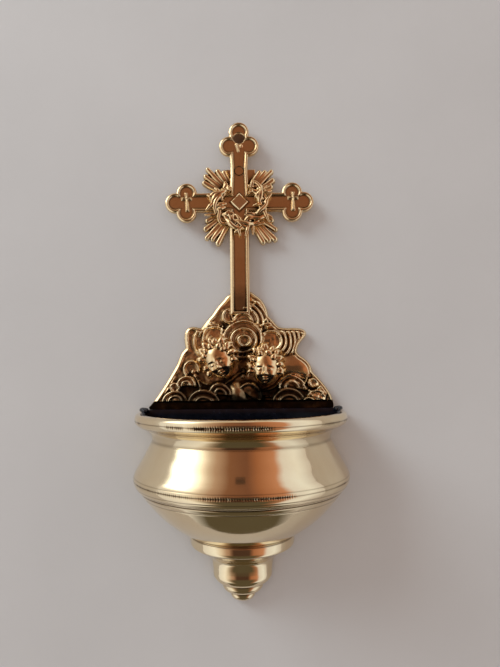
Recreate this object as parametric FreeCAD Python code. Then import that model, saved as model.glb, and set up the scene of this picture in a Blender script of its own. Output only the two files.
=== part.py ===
import FreeCAD
import Part
import math
import os

# Wall-hung holy water stoup in brass.
# Millimetres, +Z up, +X to the viewer's right, +Y into the wall.
# The origin is the centre of the hang hole, on the back face of the cross.

# ---- cross -------------------------------------------------------------
bar_width = 9.0            # width of the shaft and of the arms
cross_thick = 2.4          # back face to the top of the raised borders
border_width = 1.5         # raised border along every edge
channel_depth = 0.7        # sunk field between the borders
top_reach = 7.7            # hang hole up to the tip of the top bud
arm_drop = 31.3            # hang hole down to the centre line of the arms
arm_half_span = 35.0       # centre line out to the tip of an arm's bud
cross_drop = 84.6          # hang hole down to the foot of the shaft
lobe_radius = 4.8          # each of the three round lobes of a bud
lobe_reach = 5.3           # end lobe beyond the line of the side lobes
lobe_spread = 4.6          # side lobes out from the bar's centre line
hang_hole_radius = 2.5
token_height = 9.4         # small raised cross in each arm's bud
token_width = 5.4
token_bar = 1.3

# ---- glory behind the crossing ------------------------------------------
glory_thick = 1.4          # flat plate behind the cross
glory_web = 14.6           # width of the plate's tongue behind the upper shaft
ray_proud = 1.1            # rays in front of the plate
ray_reach = 23.6           # crossing to the tip of the longest ray
ray_width = 2.0            # at the root; a ray narrows to half of this
ray_fan = 7.6              # degrees between two rays
rays_per_quarter = 5
ray_stagger = 1.9          # each ray out from the middle one is shorter by this
lower_ray_extra = 1.6      # the lower rays reach further

# ---- crown of thorns -----------------------------------------------------
crown_half_width = 12.9    # to the middle of the twisted strands
crown_half_height = 11.2
strand_radius = 0.75
strand_twist = 0.72        # strands wind about the ring at this radius
crown_turns = 6            # windings in a full round
crown_gap = 27.0           # degrees left open each side of the upper shaft
crown_steps = 26           # straight lengths in each strand
thorn_length = 2.6
thorn_radius = 0.5
thorn_count = 12

# ---- rivets, screws and pins ---------------------------------------------
fit_clearance = 0.05       # radial, every shank in its hole
lozenge_half = 4.3         # half diagonal of the diamond head
lozenge_proud = 1.3
lozenge_shank = 1.4
tail_radius = 2.4          # peened tail behind the glory
tail_height = 0.8
upper_pin_drop = 16.1      # hang hole down to the flush pin
upper_pin_radius = 1.9
foot_rivet_radius = 1.3
foot_rivet_bite = 1.1      # blind depth in the back of the cross
plate_rivet_radius = 1.5
plate_rivet_head = 2.4
plate_rivet_proud = 0.8
plate_rivet_spread = 26.0
plate_rivet_drop = 3.6     # below the rim
screw_radius = 1.25
screw_head_radius = 2.5
screw_length = 5.8         # below the countersunk head
screw_slot = 0.6
stud_radius = 2.0
stud_setback = 8.0         # from the joint plane to the stud
stud_bite = 11.0           # depth in the finial
stud_stub = 1.0            # thread beyond the nut
nut_across_flats = 7.0
nut_height = 3.2

# ---- cloud plate ----------------------------------------------------------
foot_overlap = 12.6        # the cross laps over the plate by this
cloud_height = 57.0        # bowl's rim up to the plate's top
cloud_thick = 1.8
cloud_side_gap = 2.7       # plate's foot to the inside of the rim
cloud_border_width = 1.1
cloud_border_proud = 0.8
apron_height = 5.8         # plain strip between the rim and the relief
apron_depth = 6.4          # plain strip below the rim, behind the liner
apron_bottom_gap = 1.0     # its lower corners to the throat of the bowl

# ---- cherub heads -----------------------------------------------------------
head_half_width = 7.0
head_half_height = 8.4
head_proud = 6.6           # forehead in front of the plate
head_spigot_radius = 1.6
curls = 9                  # round the brow, from ear to ear
curl_radius = 1.6
head_margin = 0.7          # bare face of the plate round a head
head_tilt = 24.0           # degrees, left head leans this way
head_left_x = -9.4
head_left_rise = 23.0      # rim up to the middle of the left head
head_right_x = 11.4
head_right_rise = 19.8

# ---- bowl, turned and halved -------------------------------------------------
bowl_wall = 1.8
rim_inner_radius = 45.7
rim_flat = 1.8             # flat on top of the rim
rim_round = 0.7            # rim swells out by this below the flat
rim_round_drop = 2.6       # rim's widest place
rim_groove_drop = 4.3
rim_groove_inset = 1.3     # inside the rim's widest place
rim_lip_inset = 4.2
rim_lip_drop = 6.7
neck_radius = 40.4
neck_top_drop = 8.2
neck_drop = 12.1
belly_radius = 48.6
belly_drop = 28.2
belly_band_drop = 23.9     # groove above the widest place
belly_band_inset = 1.4     # inside the belly's widest place
belly_lip_drop = 33.2      # lower edge of the belly's band
belly_lip_inset = 3.0
bowl_drop = 53.5
floor_radius = 23.5
lower_swell = 2.5          # lower bowl bulges this far off the straight
lug_radius = 3.4
lug_length = 7.6
side_lug_inset = 2.0       # lug's centre inside the wall of the belly
lower_lug_share = 0.72     # place of the lower lugs along the lower bowl
lower_lug_inset = 2.2

# ---- back plate of the bowl -----------------------------------------------------
back_thick = 1.2
back_inset = 0.6           # inside the bowl's outline
back_rise = 20.0           # above the rim, behind the cloud plate
back_top_half_width = 22.0
back_shoulder = 6.0        # cloud plate's edge in to the back plate's edge
finial_screw_drop = 15.0   # finial's top face down to its screw

# ---- finial ---------------------------------------------------------------------
ring_radius = 23.5
ring_height = 4.9
ring_edge = 0.8
cove_top_radius = 18.6
cove_radius = 13.6
cove_drop = 12.6
knob_radius = 13.2
knob_drop = 19.6
step_radius = 10.2
step_drop = 21.2
lower_step_radius = 7.3
lower_step_drop = 25.0
ball_radius = 5.2
finial_drop = 30.2

# ---- liner -----------------------------------------------------------------------
liner_gap = 0.5            # all round, liner to bowl
liner_back_gap = 2.6       # flat back of the liner to the cloud plate
liner_wall = 1.5
liner_lip_rise = 1.7       # lip above the bowl's rim
liner_depth = 42.0         # below the rim
liner_draft = 17.0         # degrees, walls lean in towards the bottom
liner_ear_length = 4.0
liner_ear_reach = 1.7      # ears rest this far over the rim
liner_ear_curl = 1.3       # radius of the rolled edge

V = FreeCAD.Vector
UP = V(0, 0, 1)
BACK = V(0, 1, 0)

joint_y = cloud_thick                       # bowl and finial are cut on this plane
wall_y = joint_y + back_thick
cross_front = -cross_thick
field_front = -(cross_thick - channel_depth)
cloud_top = -(cross_drop - foot_overlap)
rim_z = cloud_top - cloud_height
rim_radius = rim_inner_radius + rim_flat + rim_round
neck_inner = neck_radius - bowl_wall
belly_lip_radius = belly_radius - belly_lip_inset
belly_inner = belly_radius - bowl_wall
floor_z = rim_z - bowl_drop
cloud_half = rim_inner_radius - cloud_side_gap
liner_back_y = -liner_back_gap
screw_end_y = joint_y - screw_length
root = 0.3                 # applied relief is rooted this deep in its plate


# ---- helpers -----------------------------------------------------------------------

def outline_face(points, y=0.0):
    """Face in an XZ plane from (x, z, bulge); bulge bends the edge that starts there."""
    edges = []
    for i, (x, z, bulge) in enumerate(points):
        x2, z2, _ = points[(i + 1) % len(points)]
        start, end = V(x, y, z), V(x2, y, z2)
        if bulge:
            half = (end - start) * 0.5
            middle = start + half + V(-half.z, 0, half.x) * bulge
            edges.append(Part.Arc(start, middle, end).toShape())
        else:
            edges.append(Part.LineSegment(start, end).toShape())
    return Part.Face(Part.Wire(edges))


def slab(points, front_y, back_y):
    return outline_face(points, front_y).extrude(V(0, back_y - front_y, 0))


def rod(x, z, radius, front_y, back_y):
    return Part.makeCylinder(radius, back_y - front_y, V(x, front_y, z), BACK)


def union(shapes):
    body = shapes[0]
    for shape in shapes[1:]:
        body = body.fuse(shape)
    return body.removeSplitter()


def group(shapes):
    return shapes[0] if len(shapes) == 1 else Part.makeCompound(shapes)


def half_turned(points):
    """Half a turned body, cut on the joint plane; points are (radius, z, bulge)."""
    face = outline_face(points, joint_y)
    return face.revolve(V(0, joint_y, 0), UP, -180)


def dome(x, z, radius, proud, base_y=0.0):
    """Low round swelling on a plate's front face."""
    ball = (radius ** 2 + proud ** 2) / (2 * proud)
    sphere = Part.makeSphere(ball, V(x, base_y + ball - proud, z))
    keep = Part.makeBox(4 * ball, proud + root, 4 * ball, V(x - 2 * ball, base_y - proud, z - 2 * ball))
    return sphere.common(keep)


# ---- cross ------------------------------------------------------------------------

def bud(cx, cz, dx, dz, radius, front_y, back_y):
    """Three lobes at the end of a bar; (cx, cz) is on the line of the side lobes."""
    ends = [(cx + dx * lobe_reach, cz + dz * lobe_reach),
            (cx + dz * lobe_spread, cz + dx * lobe_spread),
            (cx - dz * lobe_spread, cz - dx * lobe_spread)]
    return [rod(x, z, radius, front_y, back_y) for x, z in ends]


bud_line = lobe_reach + lobe_radius         # tip of a bud to the line of its side lobes
bud_seats = [(0.0, top_reach - bud_line, 0, 1),
             (-arm_half_span + bud_line, -arm_drop, -1, 0),
             (arm_half_span - bud_line, -arm_drop, 1, 0)]


def bar_box(x1, x2, z1, z2, front_y, back_y):
    return Part.makeBox(x2 - x1, back_y - front_y, z2 - z1, V(x1, front_y, z1))


def cross_blank(inset, front_y, back_y):
    """The cross's outline as a solid, drawn in from its edges by inset."""
    half = bar_width / 2 - inset
    end = bud_line
    solids = [bar_box(-half, half, -cross_drop + inset, top_reach - end, front_y, back_y),
              bar_box(-arm_half_span + end, arm_half_span - end,
                      -arm_drop - half, -arm_drop + half, front_y, back_y)]
    for cx, cz, dx, dz in bud_seats:
        solids += bud(cx, cz, dx, dz, lobe_radius - inset, front_y, back_y)
        reach = bar_box(-half, half, -half, lobe_reach, front_y, back_y)
        reach.rotate(V(0, 0, 0), BACK, math.degrees(math.atan2(dx, dz)))
        reach.translate(V(cx, 0, cz))
        solids.append(reach)
    return union(solids)


def token_cross(x):
    """Small Latin cross standing in the sunk field of an arm's bud."""
    half_bar = token_bar / 2
    top = -arm_drop + token_height / 2
    beam = top - token_height / 3
    return [bar_box(x - half_bar, x + half_bar, top - token_height, top, cross_front, field_front + root),
            bar_box(x - token_width / 2, x + token_width / 2, beam - half_bar, beam + half_bar,
                    cross_front, field_front + root)]


foot_rivet_z = [-cross_drop + foot_overlap * share for share in (0.3, 0.7)]


def make_cross():
    body = cross_blank(0, cross_front, 0)
    field = cross_blank(border_width, cross_front, field_front)
    body = body.cut(field)
    tokens = []
    for side in (-1, 1):
        tokens += token_cross(side * (arm_half_span - bud_line))
    body = union([body] + tokens)
    cuts = [rod(0, 0, hang_hole_radius, cross_front, 0),
            rod(0, -upper_pin_drop, upper_pin_radius + fit_clearance, cross_front, 0),
            rod(0, -arm_drop, lozenge_shank + fit_clearance, cross_front, 0)]
    cuts += [rod(0, z, foot_rivet_radius + fit_clearance, -foot_rivet_bite, 0) for z in foot_rivet_z]
    for cut in cuts:
        body = body.cut(cut)
    return body


# ---- glory --------------------------------------------------------------------------

def ray(angle, reach):
    """One rounded ray from the crossing outwards, in front of the glory's plate."""
    tip = ray_width / 4
    start = lozenge_half
    cone = Part.makeCone(ray_width / 2, tip, reach - tip - start, V(start, 0, 0), V(1, 0, 0))
    body = union([cone, Part.makeSphere(tip, V(reach - tip, 0, 0))])
    body = body.common(Part.makeBox(2 * reach, ray_width, 2 * ray_width, V(0, -ray_width, -ray_width)))
    skirt = outline_face([(start, -ray_width / 2, 0), (reach - tip, -tip, 1), (reach - tip, tip, 0),
                          (start, ray_width / 2, 0)]).extrude(V(0, glory_thick, 0))
    body = union([body, skirt])
    body.rotate(V(0, 0, 0), BACK, -angle)
    body.translate(V(0, 0, -arm_drop))
    return body


def make_glory():
    rays = []
    middle = (rays_per_quarter - 1) / 2
    for quarter in (45, 135, 225, 315):
        for i in range(rays_per_quarter):
            reach = ray_reach - ray_stagger * abs(i - middle)
            if quarter > 180:
                reach += lower_ray_extra
            rays.append(ray(quarter + ray_fan * (i - middle), reach))
    disc = rod(0, -arm_drop, crown_half_height, 0, glory_thick)
    tongue = bar_box(-glory_web / 2, glory_web / 2, -arm_drop, -upper_pin_drop + upper_pin_radius,
                     0, glory_thick)
    body = union([disc, tongue] + rays)
    room = cross_blank(-fit_clearance, cross_front, 0)
    body = body.cut(room)
    body = body.cut(rod(0, -upper_pin_drop, upper_pin_radius + fit_clearance, 0, glory_thick))
    return body.cut(rod(0, -arm_drop, lozenge_shank + fit_clearance, 0, glory_thick))


# ---- crown of thorns -----------------------------------------------------------------

crown_y = cross_front - strand_radius - strand_twist - fit_clearance


def crown_point(angle, phase, lift=0.0):
    """A strand's centre at an angle round the ring; the strand winds about the ring."""
    wind = crown_turns * angle + phase
    out = strand_twist * math.cos(wind) + lift
    x = (crown_half_width + out) * math.sin(angle)
    z = (crown_half_height + out) * math.cos(angle)
    return V(x, crown_y + strand_twist * math.sin(wind), z - arm_drop)


def make_crown():
    start = math.radians(crown_gap)
    sweep = 2 * math.pi - 2 * start
    solids = []
    for phase in (0.0, math.pi):
        nodes = [crown_point(start + sweep * i / crown_steps, phase) for i in range(crown_steps + 1)]
        for a, b in zip(nodes, nodes[1:]):
            solids.append(Part.makeCylinder(strand_radius, (b - a).Length, a, b - a))
        solids += [Part.makeSphere(strand_radius, node) for node in nodes]
    for i in range(thorn_count):
        angle = start + sweep * (i + 0.5) / thorn_count
        side = 1 if i % 2 else -1
        base = crown_point(angle, 0.0)
        tip = crown_point(angle + side * strand_twist / crown_half_width, 0.0, side * thorn_length)
        tip.y = base.y - strand_radius
        solids.append(Part.makeCone(thorn_radius, thorn_radius / 4, (tip - base).Length, base, tip - base))
    return union(solids)


# ---- pins and rivets --------------------------------------------------------------------

def make_lozenge():
    corners = [(0, -lozenge_half, 0), (lozenge_half, 0, 0), (0, lozenge_half, 0), (-lozenge_half, 0, 0)]
    head = slab(corners, -lozenge_proud, 0)
    head.translate(V(0, field_front, -arm_drop))
    shank = rod(0, -arm_drop, lozenge_shank, field_front, glory_thick)
    tail = Part.makeCone(tail_radius, lozenge_shank, tail_height, V(0, glory_thick, -arm_drop), BACK)
    return union([head, shank, tail])


def make_upper_pin():
    return rod(0, -upper_pin_drop, upper_pin_radius, field_front, glory_thick)


def make_foot_rivets():
    tail = cloud_thick / 2
    rivets = []
    for z in foot_rivet_z:
        shank = rod(0, z, foot_rivet_radius, -foot_rivet_bite, cloud_thick)
        flare = Part.makeCone(foot_rivet_radius, foot_rivet_radius + tail / 2, tail,
                              V(0, cloud_thick - tail, z), BACK)
        rivets.append(union([shank, flare]))
    return group(rivets)


def foot_rivet_room(z):
    tail = cloud_thick / 2
    wide = foot_rivet_radius + fit_clearance
    hole = rod(0, z, wide, 0, cloud_thick)
    return union([hole, Part.makeCone(wide, wide + tail / 2, tail, V(0, cloud_thick - tail, z), BACK)])


plate_rivet_z = rim_z - plate_rivet_drop
plate_rivet_x = [-plate_rivet_spread, 0.0, plate_rivet_spread]


def make_plate_rivets():
    rivets = []
    for x in plate_rivet_x:
        head = dome(x, plate_rivet_z, plate_rivet_head, plate_rivet_proud)
        head = head.common(bar_box(x - plate_rivet_head, x + plate_rivet_head,
                                   plate_rivet_z - plate_rivet_head, plate_rivet_z + plate_rivet_head,
                                   -plate_rivet_proud, 0))
        rivets.append(union([head, rod(x, plate_rivet_z, plate_rivet_radius, 0, wall_y)]))
    return group(rivets)


# ---- cloud plate ----------------------------------------------------------------------------

# Edge of the plate, clockwise from the top behind the shaft: shares of the plate's half width
# at the rim and of its height above the rim, then the bulge of the edge that follows.
cloud_edge = [(-0.10, 0.965, 0), (0.10, 1.0, 0.16), (0.275, 0.845, 0.10), (0.31, 0.77, 0),
              (0.425, 0.68, 0), (0.615, 0.68, 0.28), (0.715, 0.635, 0.10), (0.615, 0.515, -0.25),
              (0.64, 0.475, 0.22), (0.77, 0.335, 0.10), (0.79, 0.28, 0), (0.935, 0.17, 0.08),
              (1.0, 0.0, 0)]
cloud_edge_left = [(-1.0, 0.0, 0), (-0.85, 0.185, 0), (-0.70, 0.345, 0), (-0.635, 0.48, 0.12),
                   (-0.588, 0.51, 0.10), (-0.605, 0.63, 0.45), (-0.43, 0.675, 0),
                   (-0.27, 0.83, 0.08)]

# Swellings of the cloud: centre in the same shares, then radius and height in millimetres.
cloud_puffs = [(0.04, 0.585, 8.0, 2.4), (0.35, 0.565, 6.4, 2.4), (-0.50, 0.59, 4.6, 1.6),
               (-0.33, 0.60, 6.0, 2.0), (0.12, 0.77, 5.4, 1.8), (-0.54, 0.355, 4.0, 2.6),
               (0.72, 0.36, 5.4, 1.8), (0.62, 0.38, 5.4, 2.2), (-0.10, 0.80, 4.0, 1.6),
               (-0.60, 0.235, 4.6, 2.6), (-0.44, 0.19, 5.4, 2.9), (-0.24, 0.22, 4.6, 2.8),
               (-0.03, 0.24, 5.4, 3.0), (0.14, 0.21, 5.2, 2.8), (0.34, 0.19, 5.2, 2.6),
               (0.52, 0.22, 6.2, 3.0), (0.74, 0.20, 5.6, 2.6), (-0.76, 0.17, 4.6, 2.0),
               (0.0, 0.40, 6.0, 2.2), (0.56, 0.60, 4.4, 1.8)]
# Raised rings: centre, ring radius, wire radius.
cloud_rings = [(0.04, 0.585, 7.6, 0.9), (0.04, 0.585, 5.4, 0.9), (0.04, 0.585, 3.0, 0.9),
               (0.35, 0.565, 5.0, 0.8), (-0.54, 0.355, 2.8, 0.9), (0.12, 0.77, 3.8, 0.8)]


def cloud_place(share_x, share_z):
    return share_x * cloud_half, rim_z + share_z * cloud_height


def cloud_outline():
    right = [cloud_place(sx, sz) + (bulge,) for sx, sz, bulge in cloud_edge]
    left = [cloud_place(sx, sz) + (bulge,) for sx, sz, bulge in cloud_edge_left]
    foot_half = neck_inner - apron_bottom_gap
    return right + [(foot_half, rim_z - apron_depth, 0), (-foot_half, rim_z - apron_depth, 0)] + left


head_seats = {"cherub_head_left": (head_left_x, rim_z + head_left_rise, -head_tilt),
              "cherub_head_right": (head_right_x, rim_z + head_right_rise, 0.0)}


def head_room(name):
    """Bare oval of the plate's face that a head stands on."""
    x, z, tilt = head_seats[name]
    oval = Part.Ellipse(V(0, 0, head_half_height + head_margin), V(head_half_width + head_margin, 0, 0),
                        V(0, 0, 0))
    room = Part.Face(Part.Wire(oval.toShape())).extrude(V(0, -2 * head_proud, 0))
    room.rotate(V(0, 0, 0), BACK, tilt)
    room.translate(V(x, 0, z))
    return room


def make_cloud():
    outline = cloud_outline()
    base = slab(outline, 0, cloud_thick)
    relief_foot = rim_z + apron_height
    upper = bar_box(-rim_radius, rim_radius, relief_foot, cloud_top + cloud_height, -head_proud, cloud_thick)
    forms = [dome(*cloud_place(sx, sz), radius, proud) for sx, sz, radius, proud in cloud_puffs]
    proud_of = {(sx, sz): proud for sx, sz, radius, proud in cloud_puffs}
    for sx, sz, radius, wire in cloud_rings:
        x, z = cloud_place(sx, sz)
        y = -proud_of[(sx, sz)] * (1 - (radius / 12) ** 2) + wire / 2
        forms.append(Part.makeTorus(radius, wire, V(x, y, z), BACK))
    envelope = slab(outline, -head_proud, cloud_thick).common(upper)
    for name in head_seats:
        envelope = envelope.cut(head_room(name))
    relief = [form.common(envelope) for form in forms]
    edge = slab(outline, -cloud_border_proud, root)
    inner = outline_face(outline, -cloud_border_proud).makeOffset2D(-cloud_border_width)
    edge = edge.cut(inner.extrude(V(0, cloud_border_proud + root, 0))).common(upper)
    body = union([base] + relief + [edge])
    shaft_room = cross_blank(-fit_clearance, -head_proud, 0)
    body = body.cut(shaft_room)
    for x, z, _ in head_seats.values():
        body = body.cut(rod(x, z, head_spigot_radius + fit_clearance, -head_proud, cloud_thick))
    for z in foot_rivet_z:
        body = body.cut(foot_rivet_room(z))
    for x in plate_rivet_x:
        body = body.cut(rod(x, plate_rivet_z, plate_rivet_radius + fit_clearance, 0, cloud_thick))
    return body


# ---- cherub heads ------------------------------------------------------------------------------

def make_head(name):
    """Child's head: cranium, jaw, cheeks, nose, chin and a brow of curls, on a spigot."""
    x, z, tilt = head_seats[name]
    wide, tall, proud = head_half_width, head_half_height, head_proud
    # each ball: radius, side, rise above the middle, depth behind the brow
    balls = [(0.84 * wide, 0, tall - 0.84 * wide - curl_radius / 2, 0.84 * wide),
             (0.66 * wide, 0, -0.30 * tall, 0.80 * wide),
             (0.17 * wide, 0, -0.06 * tall, 0.14 * wide),
             (0.20 * wide, 0, -0.22 * tall, 0.10 * wide),
             (0.28 * wide, 0, -0.66 * tall, 0.56 * wide)]
    for side in (-1, 1):
        balls.append((0.36 * wide, side * 0.40 * wide, -0.32 * tall, 0.52 * wide))
    for i in range(curls):
        around = math.radians(200 * (i / (curls - 1) - 0.5))
        balls.append((curl_radius, 0.80 * wide * math.sin(around),
                      0.10 * tall + 0.72 * tall * math.cos(around), 0.56 * wide))
    before_plate = bar_box(-2 * wide, 2 * wide, -2 * tall, 2 * tall, -2 * proud, 0)
    forms = [Part.makeSphere(radius, V(dx, depth - proud, dz)).common(before_plate)
             for radius, dx, dz, depth in balls]
    head = union(forms)
    head.rotate(V(0, 0, 0), BACK, tilt)
    head.translate(V(x, 0, z))
    return union([head, rod(x, z, head_spigot_radius, -proud / 2, cloud_thick)])


# ---- bowl ----------------------------------------------------------------------------------------

def bowl_outer(inset=0.0):
    """Outside of the bowl from the rim's top down to its floor: (radius, z, bulge)."""
    lower_run = math.hypot(belly_lip_radius - floor_radius, bowl_drop - belly_lip_drop)
    lower_bulge = lower_swell / (lower_run / 2)
    stations = [(rim_inner_radius + rim_flat, 0, 0.25),
                (rim_radius, rim_round_drop, 0.2),
                (rim_radius - rim_groove_inset, rim_groove_drop, 0.25),
                (rim_radius - rim_lip_inset, rim_lip_drop, 0),
                (neck_radius + 0.6, neck_top_drop, -0.2),
                (neck_radius, neck_drop, -0.06),
                (belly_radius - belly_band_inset, belly_band_drop, 0.12),
                (belly_radius, belly_drop, 0.18),
                (belly_lip_radius, belly_lip_drop, lower_bulge),
                (floor_radius, bowl_drop, 0)]
    return [(radius - inset, rim_z - drop, bulge) for radius, drop, bulge in stations]


def lower_arc():
    """Inside of the lower bowl, from the belly to the floor."""
    top = V(belly_lip_radius - bowl_wall, joint_y, rim_z - belly_lip_drop)
    end = V(floor_radius - bowl_wall / 2, joint_y, floor_z + bowl_wall)
    across = end - top
    middle = top + across * 0.5 + V(-across.z, 0, across.x) * (lower_swell / across.Length)
    return Part.Arc(top, middle, end)


def lug_seats():
    """Screw centres of the bowl's four lugs."""
    arc = lower_arc()
    at = arc.value(arc.FirstParameter + lower_lug_share * (arc.LastParameter - arc.FirstParameter))
    side_x = belly_inner - side_lug_inset
    low_x = at.x - lower_lug_inset
    low_z = at.z + lower_lug_inset
    return [(side * x, z) for side in (-1, 1) for x, z in ((side_x, rim_z - belly_drop), (low_x, low_z))]


def make_bowl():
    outer = half_turned(bowl_outer() + [(0, floor_z, 0), (0, rim_z, 0)])
    arc_face_points = [(rim_inner_radius, rim_z, 0), (neck_inner, rim_z - neck_top_drop, 0),
                       (neck_inner, rim_z - neck_drop, 0), (belly_inner, rim_z - belly_drop, 0)]
    arc = lower_arc()
    edges = []
    corners = [V(r, joint_y, z) for r, z, _ in arc_face_points] + [arc.value(arc.FirstParameter)]
    for a, b in zip(corners, corners[1:]):
        edges.append(Part.LineSegment(a, b).toShape())
    floor_in = arc.value(arc.LastParameter)
    edges.append(arc.toShape())
    on_axis = V(0, joint_y, floor_in.z)
    mouth = V(0, joint_y, rim_z)
    for a, b in ((floor_in, on_axis), (on_axis, mouth), (mouth, corners[0])):
        edges.append(Part.LineSegment(a, b).toShape())
    hollow = Part.Face(Part.Wire(edges)).revolve(V(0, joint_y, 0), UP, -180)
    lugs = [rod(x, z, lug_radius, joint_y - lug_length, joint_y) for x, z in lug_seats()]
    body = union([outer.cut(hollow)] + [lug.common(outer) for lug in lugs])
    for x, z in lug_seats():
        body = body.cut(rod(x, z, screw_radius + fit_clearance, screw_end_y, joint_y))
    return body.cut(stud_rod(fit_clearance, floor_z, floor_z + bowl_wall))


def stud_rod(gap, low_z, high_z):
    return Part.makeCylinder(stud_radius + gap, high_z - low_z, V(0, joint_y - stud_setback, low_z))


# ---- back plate --------------------------------------------------------------------------------------

finial_top = floor_z


def back_outline():
    side = [(r, z, bulge) for r, z, bulge in bowl_outer(back_inset)]
    knob = [(ring_radius - back_inset, finial_top, 0), (ring_radius - back_inset, finial_top - ring_height, 0),
            (cove_radius - back_inset, finial_top - cove_drop, 0),
            (cove_radius - back_inset, finial_top - knob_drop, 0)]
    right = side[:-1] + knob
    left = []
    for (x, z, _), (_, _, bulge) in zip(reversed(right), list(reversed(right))[1:] + [(0, 0, 0)]):
        left.append((-x, z, bulge))
    shoulder = cloud_half - back_shoulder
    top = [(-shoulder, rim_z, 0), (-back_top_half_width, rim_z + back_rise, 0),
           (back_top_half_width, rim_z + back_rise, 0), (shoulder, rim_z, 0)]
    return right + left + top


def screw_seats():
    return lug_seats() + [(0.0, finial_top - finial_screw_drop)]


def make_back():
    body = slab(back_outline(), joint_y, wall_y)
    for x, z in screw_seats():
        body = body.cut(Part.makeCone(screw_radius + fit_clearance, screw_head_radius + fit_clearance,
                                      back_thick, V(x, joint_y, z), BACK))
    for x in plate_rivet_x:
        body = body.cut(rod(x, plate_rivet_z, plate_rivet_radius + fit_clearance, joint_y, wall_y))
    return body


def make_screws():
    screws = []
    for x, z in screw_seats():
        head = Part.makeCone(screw_radius, screw_head_radius, back_thick, V(x, joint_y, z), BACK)
        shank = rod(x, z, screw_radius, screw_end_y + fit_clearance, joint_y)
        slot = bar_box(x - screw_head_radius, x + screw_head_radius, z - screw_slot / 2, z + screw_slot / 2,
                       wall_y - screw_slot, wall_y)
        screws.append(union([head, shank]).cut(slot))
    return group(screws)


# ---- finial ---------------------------------------------------------------------------------------------

def make_finial():
    top = finial_top
    points = [(0, top, 0), (ring_radius - ring_edge, top, 0.35), (ring_radius, top - ring_edge, 0),
              (ring_radius, top - ring_height + ring_edge, 0.35),
              (ring_radius - ring_edge, top - ring_height, 0), (cove_top_radius, top - ring_height - 2.4, -0.3),
              (cove_radius, top - cove_drop, 0.1), (knob_radius, top - knob_drop, 0.3),
              (step_radius, top - step_drop, 0.12), (lower_step_radius + 1.4, top - lower_step_drop + 1.2, 0.1),
              (lower_step_radius, top - lower_step_drop, 0), (ball_radius, top - lower_step_drop - 0.6, 0.35),
              (0, top - finial_drop, 0)]
    body = half_turned(points)
    body = body.cut(stud_rod(fit_clearance, top - stud_bite - 1, top))
    return body.cut(rod(0, top - finial_screw_drop, screw_radius + fit_clearance, screw_end_y, joint_y))


nut_seat = floor_z + bowl_wall


def make_stud():
    return stud_rod(0, finial_top - stud_bite, nut_seat + nut_height + stud_stub)


def make_nut():
    corner = nut_across_flats / math.sqrt(3)
    ring = [V(corner * math.cos(math.radians(60 * i)), joint_y - stud_setback
              + corner * math.sin(math.radians(60 * i)), nut_seat) for i in range(7)]
    body = Part.Face(Part.makePolygon(ring)).extrude(V(0, 0, nut_height))
    return body.cut(stud_rod(fit_clearance, nut_seat, nut_seat + nut_height))


# ---- liner ------------------------------------------------------------------------------------------------

def liner_points(inset, top_z, bottom_z):
    """Turned outline of the liner, drawn in by inset; (radius, z, bulge)."""
    lean = math.tan(math.radians(liner_draft))
    lip = rim_inner_radius - liner_gap - inset
    throat = neck_inner - liner_gap - inset
    throat_z = rim_z - neck_top_drop
    foot = throat - lean * (throat_z - bottom_z)
    return [(lip, top_z, 0), (lip, rim_z, 0), (throat, throat_z, 0), (foot, bottom_z, 0),
            (0, bottom_z, 0), (0, top_z, 0)]


def make_liner():
    lip_z = rim_z + liner_lip_rise
    floor = rim_z - liner_depth
    outer = half_turned(liner_points(0, lip_z, floor))
    inner = half_turned(liner_points(liner_wall, lip_z, floor + liner_wall))
    reach = 2 * rim_radius
    behind = Part.makeBox(reach, reach, reach, V(-rim_radius, liner_back_y, rim_z - reach / 2 - liner_depth / 2))
    outer = outer.cut(behind)
    behind.translate(V(0, -liner_wall, 0))
    inner = inner.cut(behind)
    body = outer.cut(inner)
    forms = [body]
    for side in (-1, 1):
        inside = rim_inner_radius - liner_gap - liner_wall
        outside = rim_inner_radius + liner_ear_reach
        low, high = sorted((side * inside, side * outside))
        forms.append(Part.makeBox(high - low, liner_ear_length, liner_lip_rise,
                                  V(low, liner_back_y - liner_ear_length, rim_z)))
        forms.append(Part.makeCylinder(liner_ear_curl, liner_ear_length,
                                       V(side * (inside + liner_ear_curl), liner_back_y - liner_ear_length,
                                         rim_z + liner_ear_curl), BACK))
    return union(forms).cut(inner)


# ---- build ------------------------------------------------------------------------------------------------

nodes = {
    "cross": make_cross(),
    "glory_rays": make_glory(),
    "thorn_crown": make_crown(),
    "lozenge_rivet": make_lozenge(),
    "upper_pin": make_upper_pin(),
    "foot_rivets": make_foot_rivets(),
    "cloud_plate": make_cloud(),
    "cherub_head_left": make_head("cherub_head_left"),
    "cherub_head_right": make_head("cherub_head_right"),
    "plate_rivets": make_plate_rivets(),
    "bowl_back": make_back(),
    "bowl_shell": make_bowl(),
    "back_screws": make_screws(),
    "finial": make_finial(),
    "finial_stud": make_stud(),
    "finial_nut": make_nut(),
    "liner": make_liner(),
}

os.makedirs("parts", exist_ok=True)
for name, shape in nodes.items():
    shape.exportStep("parts/" + name + ".step")
    box = shape.BoundBox
    print("%-20s solids %d  valid %s  volume %9.1f  x %.1f..%.1f  y %.1f..%.1f  z %.1f..%.1f" % (
        name, len(shape.Solids), shape.isValid(), shape.Volume,
        box.XMin, box.XMax, box.YMin, box.YMax, box.ZMin, box.ZMax))
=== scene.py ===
import math
import random

import bmesh
import bpy
import numpy as np
from mathutils import Matrix, Vector


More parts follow.
